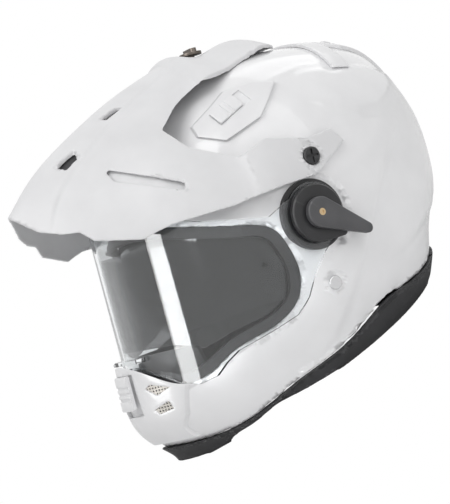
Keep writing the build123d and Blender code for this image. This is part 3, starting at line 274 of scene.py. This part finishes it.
def round_edges(piece, width, segments=2):
    """Rounds every sharp edge with a small bevel, in millimetres."""
    select_only(piece)
    bevel = piece.modifiers.new("rounded edges", "BEVEL")
    bevel.width = width * MM
    bevel.segments = segments
    bevel.limit_method = "ANGLE"
    bevel.angle_limit = SMOOTH_ANGLE
    bpy.ops.object.modifier_apply(modifier=bevel.name)


def subdivide_once(piece):
    """One level of smooth subdivision, applied."""
    select_only(piece)
    smoother = piece.modifiers.new("smooth", "SUBSURF")
    smoother.levels = 1
    smoother.render_levels = 1
    bpy.ops.object.modifier_apply(modifier=smoother.name)


def finish_piece(piece, body, slot, material, *nodes):
    """Gives a piece its shading, its finish, its body and the CAD nodes it stands for."""
    select_only(piece)
    bpy.ops.object.shade_smooth_by_angle(angle=SMOOTH_ANGLE)
    piece.data.materials.clear()
    piece.data.materials.append(material)
    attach(piece, body)
    if nodes:
        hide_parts(*nodes)
    return piece


def ramp(value, start, end):
    """A smooth step from 0 at start to 1 at end."""
    share = np.clip((value - start) / (end - start), 0, 1)
    return share * share * (3 - 2 * share)


def band(value, rise, fade):
    """1 between two places, with a smooth step over the run at either end."""
    return ramp(value, *rise) * (1 - ramp(value, *fade))


def beside(y, z, line):
    """Signed distance in the side view from a line of points, positive on its left-hand side."""
    best = np.full(len(y), np.inf)
    signed = np.zeros(len(y))
    for (y0, z0), (y1, z1) in zip(line, line[1:]):
        run = np.array([y1 - y0, z1 - z0])
        length = np.hypot(*run)
        run = run / length
        along = np.clip((y - y0) * run[0] + (z - z0) * run[1], 0, length)
        gap_y = y - y0 - along * run[0]
        gap_z = z - z0 - along * run[1]
        gap = np.hypot(gap_y, gap_z)
        side = run[0] * gap_z - run[1] * gap_y
        nearer = gap < best
        best = np.where(nearer, gap, best)
        signed = np.where(nearer, np.where(side >= 0, gap, -gap), signed)
    return signed


def set_inputs(node, **values):
    """Sets a node's own sockets; a space in a socket's name is written as an underscore."""
    for name, value in values.items():
        node.inputs[name.replace("_", " ")].default_value = value
    return node


# effects that several finishes share
def group_socket(group, name, way, value=None):
    """Adds one named number to a node group, going in or out."""
    socket = group.interface.new_socket(name=name, in_out=way, socket_type="NodeSocketFloat")
    if value is not None:
        socket.default_value = value


def multiplied(nodes, links, first, second):
    """The product of two sockets."""
    product = nodes.new("ShaderNodeMath")
    product.operation = "MULTIPLY"
    links.new(first, product.inputs[0])
    links.new(second, product.inputs[1])
    return product.outputs[0]


def grain_group():
    """Fine moulded grain: a height and a mottled mask from two scales of noise."""
    group = bpy.data.node_groups.new("Moulded grain", "ShaderNodeTree")
    group_socket(group, "Fine scale", "INPUT", 900.0)
    group_socket(group, "Broad scale", "INPUT", 30.0)
    group_socket(group, "Height", "OUTPUT")
    group_socket(group, "Mottle", "OUTPUT")
    nodes, links = group.nodes, group.links
    inside = nodes.new("NodeGroupInput")
    outside = nodes.new("NodeGroupOutput")
    place = nodes.new("ShaderNodeTexCoord")
    for output, scale in (("Height", "Fine scale"), ("Mottle", "Broad scale")):
        noise = set_inputs(nodes.new("ShaderNodeTexNoise"), Detail=3.0)
        links.new(place.outputs["Object"], noise.inputs["Vector"])
        links.new(inside.outputs[scale], noise.inputs["Scale"])
        links.new(noise.outputs["Fac"], outside.inputs[output])
    return group


def weave_group():
    """Crossed threads: a height that dips in the gaps between them."""
    group = bpy.data.node_groups.new("Crossed threads", "ShaderNodeTree")
    group_socket(group, "Scale", "INPUT", 900.0)
    group_socket(group, "Height", "OUTPUT")
    nodes, links = group.nodes, group.links
    inside = nodes.new("NodeGroupInput")
    outside = nodes.new("NodeGroupOutput")
    place = nodes.new("ShaderNodeTexCoord")
    waves = []
    for direction in ("X", "Z"):
        wave = set_inputs(nodes.new("ShaderNodeTexWave"), Distortion=1.5, Detail=1.0)
        wave.bands_direction = direction
        links.new(place.outputs["Object"], wave.inputs["Vector"])
        links.new(inside.outputs["Scale"], wave.inputs["Scale"])
        waves.append(wave.outputs["Fac"])
    links.new(multiplied(nodes, links, *waves), outside.inputs["Height"])
    return group


def edge_highlight_group():
    """A painted highlight: a pale mask along convex edges, broken up by noise."""
    group = bpy.data.node_groups.new("Painted edge highlight", "ShaderNodeTree")
    group_socket(group, "Amount", "INPUT", 0.3)
    group_socket(group, "Mask", "OUTPUT")
    nodes, links = group.nodes, group.links
    inside = nodes.new("NodeGroupInput")
    outside = nodes.new("NodeGroupOutput")
    shape = nodes.new("ShaderNodeNewGeometry")
    place = nodes.new("ShaderNodeTexCoord")
    noise = set_inputs(nodes.new("ShaderNodeTexNoise"), Scale=120.0)
    edge = set_inputs(nodes.new("ShaderNodeMapRange"), From_Min=0.53, From_Max=0.62)
    links.new(place.outputs["Object"], noise.inputs["Vector"])
    links.new(shape.outputs["Pointiness"], edge.inputs["Value"])
    broken = multiplied(nodes, links, edge.outputs["Result"], noise.outputs["Fac"])
    mask = multiplied(nodes, links, broken, inside.outputs["Amount"])
    links.new(mask, outside.inputs["Mask"])
    return group


GRAIN = grain_group()
WEAVE = weave_group()
EDGE_HIGHLIGHT = edge_highlight_group()


def new_material(name):
    """An empty material with its nodes, its links and its shader."""
    material = bpy.data.materials.new(name)
    material.use_nodes = True
    nodes = material.node_tree.nodes
    return material, nodes, material.node_tree.links, nodes["Principled BSDF"]


def placed_group(nodes, group, **values):
    """A node group placed in a material with its own values."""
    node = nodes.new("ShaderNodeGroup")
    node.node_tree = group
    return set_inputs(node, **values)


def tinted(nodes, links, mask, dark, light, low=0.3, high=0.7):
    """A colour that runs from dark to light with a mask."""
    colours = nodes.new("ShaderNodeValToRGB")
    colours.color_ramp.elements[0].position = low
    colours.color_ramp.elements[0].color = (*dark, 1)
    colours.color_ramp.elements[1].position = high
    colours.color_ramp.elements[1].color = (*light, 1)
    links.new(mask, colours.inputs["Fac"])
    return colours.outputs["Color"]


def roughened(nodes, links, shader, mask, low, high):
    """Lets the roughness run from low to high with a mask."""
    spread = set_inputs(nodes.new("ShaderNodeMapRange"), To_Min=low, To_Max=high)
    links.new(mask, spread.inputs["Value"])
    links.new(spread.outputs["Result"], shader.inputs["Roughness"])


def embossed(nodes, links, shader, height, strength, distance):
    """Gives a shader the fine relief of a height."""
    relief = set_inputs(nodes.new("ShaderNodeBump"), Strength=strength, Distance=distance)
    links.new(height, relief.inputs["Height"])
    links.new(relief.outputs["Normal"], shader.inputs["Normal"])


def seen_by(nodes, links, rays, plain, other, output):
    """Shows one shader to most rays and the other to the rays that are marked."""
    mixed = nodes.new("ShaderNodeMixShader")
    links.new(rays, mixed.inputs["Fac"])
    links.new(plain, mixed.inputs[1])
    links.new(other, mixed.inputs[2])
    links.new(mixed.outputs["Shader"], output.inputs["Surface"])


def moulded(name, dark, light, roughness, bump, fine=900.0, coat=0.0, highlight=0.0, highlight_colour=None):
    """A moulded or painted finish with mottled colour, fine grain and a painted highlight along
    convex edges.
    """
    material, nodes, links, shader = new_material(name)
    grain = placed_group(nodes, GRAIN, Fine_scale=fine)
    colour = tinted(nodes, links, grain.outputs["Mottle"], dark, light)
    # a paler colour along convex edges: a painted highlight
    if highlight:
        edges = placed_group(nodes, EDGE_HIGHLIGHT, Amount=highlight)
        blend = nodes.new("ShaderNodeMix")
        blend.data_type = "RGBA"
        links.new(edges.outputs["Mask"], blend.inputs["Factor"])
        links.new(colour, blend.inputs["A"])
        blend.inputs["B"].default_value = (*highlight_colour, 1)
        colour = blend.outputs["Result"]
    links.new(colour, shader.inputs["Base Color"])
    roughened(nodes, links, shader, grain.outputs["Mottle"],
              roughness * (1 - ROUGHNESS_SPREAD), roughness * (1 + ROUGHNESS_SPREAD))
    embossed(nodes, links, shader, grain.outputs["Height"], bump, GRAIN_RELIEF)
    set_inputs(shader, Coat_Weight=coat, Coat_Roughness=COAT_ROUGHNESS)
    return material


def metal(name, dark, light, roughness, bump=0.05):
    """A metal finish with a very fine grain."""
    material = moulded(name, dark, light, roughness, bump, fine=1500.0)
    set_inputs(material.node_tree.nodes["Principled BSDF"], Metallic=1.0)
    return material


def clear_plastic(name, colour, through, roughness=0.02, shade=0.0):
    """Clear or smoked sheet that lets light and shadow rays through."""
    material, nodes, links, shader = new_material(name)
    grain = placed_group(nodes, GRAIN, Fine_scale=60.0, Broad_scale=25.0)
    deeper = tuple(channel * CLEAR_MOTTLE for channel in colour)
    links.new(tinted(nodes, links, grain.outputs["Mottle"], deeper, colour),
              shader.inputs["Base Color"])
    set_inputs(shader, Roughness=roughness, IOR=PLASTIC_IOR, Transmission_Weight=through)
    embossed(nodes, links, shader, grain.outputs["Height"], 0.02, CLEAR_RELIEF)
    open_air = nodes.new("ShaderNodeBsdfTransparent")
    set_inputs(open_air, Color=(*(1 - shade * (1 - channel) for channel in colour), 1))
    rays = nodes.new("ShaderNodeLightPath")
    seen_by(nodes, links, rays.outputs["Is Shadow Ray"], shader.outputs["BSDF"],
            open_air.outputs["BSDF"], nodes["Material Output"])
    return material


def cloth(name, dark, light, scale, bump, sheen=0.3):
    """Woven or knitted cloth with a soft sheen."""
    material, nodes, links, shader = new_material(name)
    weave = placed_group(nodes, WEAVE, Scale=scale)
    grain = placed_group(nodes, GRAIN, Fine_scale=1200.0, Broad_scale=40.0)
    links.new(tinted(nodes, links, weave.outputs["Height"], dark, light, 0.1, 0.9),
              shader.inputs["Base Color"])
    roughened(nodes, links, shader, grain.outputs["Mottle"], 0.8, 1.0)
    embossed(nodes, links, shader, weave.outputs["Height"], bump, THREAD_RELIEF)
    set_inputs(shader, Sheen_Weight=sheen, Sheen_Roughness=0.5)
    return material


GLOSS_WHITE = moulded("Gloss white lacquer", (0.80, 0.80, 0.81), (0.84, 0.84, 0.85),
                      0.22, 0.01, fine=500.0, coat=0.8)
# the paler edge colours of these finishes are painted highlights along convex edges
SATIN_WHITE = moulded("Satin white peak", (0.70, 0.70, 0.71), (0.75, 0.75, 0.76),
                      0.42, 0.06, highlight=0.5, highlight_colour=(0.82, 0.82, 0.83))
VENT_WHITE = moulded("White vent plastic", (0.76, 0.76, 0.77), (0.81, 0.81, 0.82),
                     0.3, 0.04, coat=0.3, highlight=0.5, highlight_colour=(0.86, 0.86, 0.87))
BLACK_PLASTIC = moulded("Black moulded plastic", (0.012, 0.012, 0.013), (0.024, 0.024, 0.026),
                        0.5, 0.2, highlight=0.4, highlight_colour=(0.08, 0.08, 0.085))
COVER_BLACK = moulded("Hinge cover black", (0.012, 0.012, 0.013), (0.022, 0.022, 0.024),
                      0.38, 0.12, highlight=0.5, highlight_colour=(0.09, 0.09, 0.095))
LEVER_GREY = moulded("Lever grey", (0.055, 0.055, 0.058), (0.085, 0.085, 0.09),
                     0.45, 0.2, highlight=0.5, highlight_colour=(0.2, 0.2, 0.21))
BLACK_RUBBER = moulded("Black rubber", (0.010, 0.010, 0.011), (0.022, 0.022, 0.024),
                       0.55, 0.25, fine=700.0)
FOAM_GREY = moulded("Liner foam", (0.012, 0.012, 0.012), (0.045, 0.045, 0.045),
                    0.9, 0.6, fine=320.0)
BRONZE = metal("Bronze-grey screw", (0.10, 0.085, 0.075), (0.17, 0.15, 0.13), 0.35)
BRASS = metal("Brass screw", (0.50, 0.36, 0.20), (0.66, 0.50, 0.30), 0.3)
STEEL = metal("Polished steel", (0.60, 0.60, 0.61), (0.72, 0.72, 0.73), 0.2)
BRUSHED = metal("Brushed steel", (0.42, 0.42, 0.43), (0.56, 0.56, 0.57), 0.36, 0.2)
MESH_METAL = metal("Vent mesh metal", (0.16, 0.15, 0.14), (0.28, 0.27, 0.25), 0.4)
CLEAR = clear_plastic("Clear shield", (0.93, 0.95, 0.96), 1.0)
INSERT_CLEAR = clear_plastic("Clear insert", (0.20, 0.195, 0.20), 1.0, shade=1.0)
SMOKE = clear_plastic("Smoke visor", (0.02, 0.019, 0.02), 0.7, 0.05, shade=1.0)
PAD_CLOTH = cloth("Pad knit", (0.008, 0.008, 0.009), (0.030, 0.030, 0.033), 700.0, 0.5)
WEBBING = cloth("Strap webbing", (0.006, 0.006, 0.007), (0.035, 0.035, 0.038), 900.0, 0.8)

# the finish of every CAD node
FINISHES = {
    "face_shield": CLEAR, "anti_fog_insert": INSERT_CLEAR, "insert_pins": CLEAR,
    "sun_visor": SMOKE, "visor_lever": LEVER_GREY, "lever_screw": BRASS,
    "hinge_cap_right": LEVER_GREY,
    "eye_port_gasket": BLACK_RUBBER, "base_trim": BLACK_RUBBER,
    "eps_liner": FOAM_GREY, "chin_foam": FOAM_GREY, "breath_deflector": BLACK_PLASTIC,
    "shield_base_left": BLACK_PLASTIC, "shield_base_right": BLACK_PLASTIC,
    "hinge_cover_left": COVER_BLACK, "hinge_cover_right": COVER_BLACK,
    "peak_top_bracket": BLACK_PLASTIC, "peak_top_screw": BRONZE,
    "peak_socket_left": BLACK_PLASTIC, "peak_socket_right": BLACK_PLASTIC,
    "peak_side_screw_left": COVER_BLACK, "peak_side_screw_right": COVER_BLACK,
    "chin_vent_housing": VENT_WHITE, "chin_vent_slider": VENT_WHITE,
    "chin_vent_mesh": MESH_METAL,
    "top_vent_housing_left": VENT_WHITE, "top_vent_housing_right": VENT_WHITE,
    "top_vent_slider_left": VENT_WHITE, "top_vent_slider_right": VENT_WHITE,
    "rear_vent_bridge": VENT_WHITE, "rear_vent_housing": VENT_WHITE,
    "rear_vent_slider": VENT_WHITE,
    "strap_rivet_left": STEEL, "strap_rivet_right": STEEL,
    "buckle_receiver": BLACK_PLASTIC, "buckle_latch": BLACK_PLASTIC,
    "buckle_tongue": BRUSHED, "latch_pin": BRUSHED,
    "crown_pad": PAD_CLOTH, "neck_roll": PAD_CLOTH,
    "cheek_pad_left": PAD_CLOTH, "cheek_pad_right": PAD_CLOTH,
    "chin_strap_left": WEBBING, "chin_strap_right": WEBBING,
}

# hard pieces whose edges are eased: node, name, body, slot, edge width in millimetres
EASED_PAIRS = [
    ("top_vent_housing_{}", "Top_vent_{}", "shell", "vent_white", 0.5),
    ("top_vent_slider_{}", "Top_vent_slider_{}", "top_vent_slider_{}", "vent_white", 0.3),
    ("hinge_cover_{}", "Hinge_cover_{}", "shell", "cover_black", 0.4),
    ("peak_side_screw_{}", "Peak_screw_{}", "peak_side_screw_{}", "cover_black", 0.25),
]
EASED_SINGLES = [
    ("chin_vent_housing", "Chin_vent", "shell", "vent_white", 0.5),
    ("chin_vent_slider", "Chin_vent_slider", "chin_vent_slider", "vent_white", 0.3),
    ("rear_vent_housing", "Rear_vent", "shell", "vent_white", 0.6),
    ("rear_vent_slider", "Rear_vent_slider", "rear_vent_slider", "vent_white", 0.3),
    ("rear_vent_bridge", "Rear_bridge", "shell", "vent_white", 0.8),
    ("visor_lever", "Visor_lever", "sun_visor", "lever_grey", 0.35),
    ("hinge_cap_right", "Hinge_cap_right", "sun_visor", "lever_grey", 0.35),
    ("peak_top_screw", "Peak_knob", "peak_top_screw", "screw_bronze", 0.3),
    ("buckle_latch", "Buckle_latch", "buckle_latch", "black_plastic", 0.3),
    ("buckle_receiver", "Buckle_receiver", "shell", "black_plastic", 0.5),
]


def plain_finishes():
    """Gives every CAD piece its finish."""
    for node, material in FINISHES.items():
        mesh = frame["nodes"][node].data
        mesh.materials.clear()
        mesh.materials.append(material)


def outward_share(piece):
    """1 where the surface faces away from the middle of the helmet, 0 on inner walls and rims."""
    away = vertices_of(piece.data) - np.array(worn_point(*HEAD_MIDDLE))
    away /= np.linalg.norm(away, axis=1)[:, None]
    return ramp((away * normals_of(piece.data)).sum(1), *OUTWARD_FACING)


def outer_shell():
    """The lacquered shell with its body lines."""
    piece = fine_copy("outer_shell", "Shell", SHELL_MESH, rounds=3)
    x, y, z = worn_coordinates(vertices_of(piece.data))
    ridge = beside(y, z, RIDGE_LINE)
    waist = band(beside(y, z, BODY_LINE), *WAIST_BAND) * band(-z, *WAIST_HEIGHT)
    channel = band(beside(y, z, LOWER_LINE), *CHANNEL_BAND) * ramp(y, *CHANNEL_START)
    plateau = (ramp(-ridge, *PLATEAU_RIDGE) * ramp(-beside(y, z, BOWL_LINE), *PLATEAU_BOWL)
               * band(y, *PLATEAU_LENGTH))
    crest = np.exp(-((ridge - RIDGE_MIDDLE) / RIDGE_WIDTH) ** 2) * band(y, *RIDGE_LENGTH)
    depth = (PLATEAU_RISE * plateau + RIDGE_RISE * crest
             - WAIST_DEPTH * waist - CHANNEL_DEPTH * channel)
    depth = np.clip(depth, -SHELL_CARVE, SHELL_CARVE)
    vent_seat = (ramp(z, *VENT_SEAT_BASE) * (1 - ramp(np.abs(x), *VENT_SEAT_SIDE))
                 * ramp(y, *VENT_SEAT_FRONT))
    free = ramp(np.abs(x), *FLANK) * ramp(np.hypot(y, z), *HINGE_SEAT) * (1 - vent_seat)
    push(piece, depth * free * outward_share(piece))
    relax(piece.data, rounds=2, strength=0.4)
    return finish_piece(piece, "shell", "shell_white", GLOSS_WHITE, "outer_shell")


def peak():
    """The peak with its raised middle strip."""
    piece = fine_copy("peak", "Peak", PEAK_MESH, rounds=1)
    x, y, _ = worn_coordinates(vertices_of(piece.data))
    upper = ramp(normals_of(piece.data) @ UPWARD, *UPPER_FACING)
    half = (STRIP_HALF - STRIP_WAIST * ramp(y, *STRIP_WAIST_RUN)
            + STRIP_FLARE * ramp(-y, *STRIP_FLARE_RUN))
    strip = 1 - ramp(np.abs(x), half - STRIP_INNER_EDGE, half + STRIP_OUTER_EDGE)
    push(piece, STRIP_RISE * strip * upper * (1 - ramp(y, *STRIP_END)))
    return finish_piece(piece, "peak", "peak_white", SATIN_WHITE, "peak")


def sheet_on_peak(name, points, faces, slot, material):
    """A thin sheet that rides on the peak."""
    mesh = bpy.data.meshes.new(name)
    mesh.from_pydata([tuple(point) for point in points], [], faces)
    piece = bpy.data.objects.new(name, mesh)
    bpy.context.scene.collection.objects.link(piece)
    select_only(piece)
    wall = piece.modifiers.new("wall", "SOLIDIFY")
    wall.thickness = SHEET_WALL * MM
    bpy.ops.object.modifier_apply(modifier=wall.name)
    return finish_piece(piece, "peak", slot, material)


def peak_hole_shade():
    """Black sheets under the holes in the peak: painted shade, standing in for the shade seen
    through them.
    """
    tree = surface_tree(frame["nodes"]["peak"])
    down = Vector(-UPWARD)
    for place, corners in enumerate(PEAK_HOLES):
        middle = np.mean(corners, axis=0)
        sheet = []
        for corner in corners:
            x, y = middle + (np.array(corner) - middle) * HOLE_SPREAD
            hit = tree.ray_cast(worn_point(x, y, OUTSIDE), down)[0]
            sheet.append(hit + down * SHADE_SHEET_DROP * MM)
        for side, way in SIDES:
            # these black sheets are painted shade, not a part of the helmet
            sheet_on_peak(f"Peak_hole_shade_{place}_{side}", [(way * p.x, p.y, p.z) for p in sheet],
                          [range(len(sheet))], "black_plastic", BLACK_PLASTIC)


def scoop_floor():
    """The pale floor of the scoop in each side of the peak."""
    tree = surface_tree(frame["nodes"]["peak"])
    count = len(SCOOP_LINE)
    faces = [(i, i + 1, i + 1 + count, i + count) for i in range(count - 1)]
    for side, way in SIDES:
        inward = Vector((-way, 0, 0))
        points = []
        for drop in SCOOP_ROWS:
            for y, z in SCOOP_LINE:
                hit = tree.ray_cast(worn_point(way * OUTSIDE, y, z + drop), inward)[0]
                points.append(hit + inward * SCOOP_DEPTH * MM)
        sheet_on_peak(f"Scoop_floor_{side}", points, faces, "peak_white", SATIN_WHITE)


def edge_trim():
    """The rubber edge, rounded like a moulded profile."""
    piece = fine_copy("base_trim", "Edge_trim", TRIM_MESH, rounds=0)
    on_floor = vertices_of(piece.data)[:, 2] < FLOOR_BAND * MM
    relax(piece.data, rounds=6, keep=on_floor)
    return finish_piece(piece, "shell", "black_rubber", BLACK_RUBBER, "base_trim")


def eased(node, name, body, slot, width):
    """A hard piece with its edges rounded as a mould leaves them."""
    piece = merged_copy(node, name)
    round_edges(piece, width)
    return finish_piece(piece, body, slot, FINISHES[node], node)


def hard_pieces():
    """Moulded and turned pieces whose sharp CAD edges are eased."""
    for side, _ in SIDES:
        for node, name, body, slot, width in EASED_PAIRS:
            eased(node.format(side), name.format(side), body.format(side), slot, width)
    for row in EASED_SINGLES:
        eased(*row)


def soft_pad(node, name, grooves):
    """A foam pad under knit cloth, with crowned faces, drawn-in edges and sewn channels."""
    piece = fine_copy(node, name, PAD_MESH, rounds=0)
    rest = vertices_of(piece.data)
    relax(piece.data, rounds=10)
    points = vertices_of(piece.data)
    drawn_in = np.linalg.norm(points - rest, axis=1) / MM
    x, y, z = worn_coordinates(points)
    depth = PAD_SWELL * (1 - ramp(drawn_in, *PAD_EDGE)) - PAD_CLEARANCE
    for axis, place in grooves:
        across = {"x": np.abs(x), "y": y, "z": z}[axis] - place
        depth -= SEAM_DEPTH * np.exp(-((across / SEAM_WIDTH) ** 2))
    push(piece, depth)
    subdivide_once(piece)
    return finish_piece(piece, "shell", "pad_fabric", PAD_CLOTH, node)


def padding():
    """The removable lining."""
    soft_pad("crown_pad", "Crown_pad", CROWN_GROOVES)
    for side, _ in SIDES:
        soft_pad(f"cheek_pad_{side}", f"Cheek_pad_{side}", CHEEK_GROOVES)
    soft_pad("neck_roll", "Neck_roll", NECK_GROOVES)


def chin_straps():
    """Webbing with rolled edges."""
    for side, _ in SIDES:
        piece = fine_copy(f"chin_strap_{side}", f"Chin_strap_{side}", STRAP_MESH)
        finish_piece(piece, "shell", "strap_webbing", WEBBING, f"chin_strap_{side}")


def direction(azimuth, elevation):
    """The way from the helmet to a place round it; azimuth 0 is the front, 90 the left."""
    turn, rise = math.radians(azimuth), math.radians(elevation)
    return Vector((math.sin(turn) * math.cos(rise), -math.cos(turn) * math.cos(rise),
                   math.sin(rise)))


def area_light(name, azimuth, elevation, distance, width, height, watts):
    """A soft panel aimed at the helmet."""
    away = direction(azimuth, elevation)
    panel = bpy.data.lights.new(name, "AREA")
    panel.shape = "RECTANGLE"
    panel.size = width
    panel.size_y = height
    panel.energy = watts
    lamp = bpy.data.objects.new(name, panel)
    lamp.location = Vector(HINGE) + away * distance
    lamp.rotation_euler = away.to_track_quat("Z", "Y").to_euler()
    bpy.context.scene.collection.objects.link(lamp)
    return lamp


def surroundings():
    """White where the camera, a reflection or a clear piece looks, a soft light elsewhere."""
    world = bpy.data.worlds.new("White studio")
    bpy.context.scene.world = world
    world.use_nodes = True
    nodes, links = world.node_tree.nodes, world.node_tree.links
    ambient = set_inputs(nodes["Background"], Color=WHITE, Strength=AMBIENT_LIGHT)
    seen = set_inputs(nodes.new("ShaderNodeBackground"), Color=WHITE, Strength=1.0)
    rays = nodes.new("ShaderNodeLightPath")
    marked = rays.outputs["Is Camera Ray"]
    for kind in ("Is Glossy Ray", "Is Transmission Ray"):
        either = nodes.new("ShaderNodeMath")
        either.operation = "MAXIMUM"
        links.new(marked, either.inputs[0])
        links.new(rays.outputs[kind], either.inputs[1])
        marked = either.outputs[0]
    seen_by(nodes, links, marked, ambient.outputs[0], seen.outputs[0], nodes["World Output"])


def pale_floor():
    """A floor that takes the helmet's bounce light and looks plain white."""
    bpy.ops.object.select_all(action="DESELECT")
    bpy.ops.mesh.primitive_plane_add(size=FLOOR_SIZE, location=(0, 0, 0))
    floor = bpy.context.object
    floor.name = "Floor"
    material, nodes, links, shader = new_material("Pale floor")
    set_inputs(shader, Base_Color=(0.9, 0.9, 0.9, 1), Roughness=0.8)
    glow = nodes.new("ShaderNodeEmission")
    rays = nodes.new("ShaderNodeLightPath")
    seen_by(nodes, links, rays.outputs["Is Camera Ray"], shader.outputs["BSDF"],
            glow.outputs["Emission"], nodes["Material Output"])
    floor.data.materials.append(material)


def studio():
    """Pale floor, white surroundings and soft light."""
    surroundings()
    pale_floor()
    for lamp in LAMPS:
        area_light(*lamp)
    # seen in the shield's curve, without lighting the white lacquer
    area_light(*STRIP_LAMP).visible_diffuse = False


def photograph_camera():
    """The camera of the photograph, tilted in its frame as the helmet was."""
    turn, roll = math.radians(VIEW_AZIMUTH), math.radians(VIEW_ROLL)
    back = direction(VIEW_AZIMUTH, VIEW_ELEVATION)
    level = Vector((math.cos(turn), math.sin(turn), 0))
    upright = back.cross(level)
    across = level * math.cos(roll) - upright * math.sin(roll)
    up = level * math.sin(roll) + upright * math.cos(roll)
    camera = bpy.data.objects.new("Camera", bpy.data.cameras.new("Camera"))
    bpy.context.scene.collection.objects.link(camera)
    camera.matrix_world = Matrix.Translation(Vector(HINGE) + back * VIEW_DISTANCE) @ Matrix(
        (across, up, back)
    ).transposed().to_4x4()
    camera.data.sensor_width = SENSOR
    camera.data.lens = VIEW_LENS
    camera.data.shift_x = (PICTURE_WIDTH / 2 - HINGE_COLUMN) / PICTURE_HEIGHT
    camera.data.shift_y = (HINGE_ROW - PICTURE_HEIGHT / 2) / PICTURE_HEIGHT
    bpy.context.scene.camera = camera


bpy.context.scene.view_settings.view_transform = "Standard"
plain_finishes()
outer_shell()
peak()
peak_hole_shade()
scoop_floor()
edge_trim()
hard_pieces()
padding()
chin_straps()
studio()
photograph_camera()
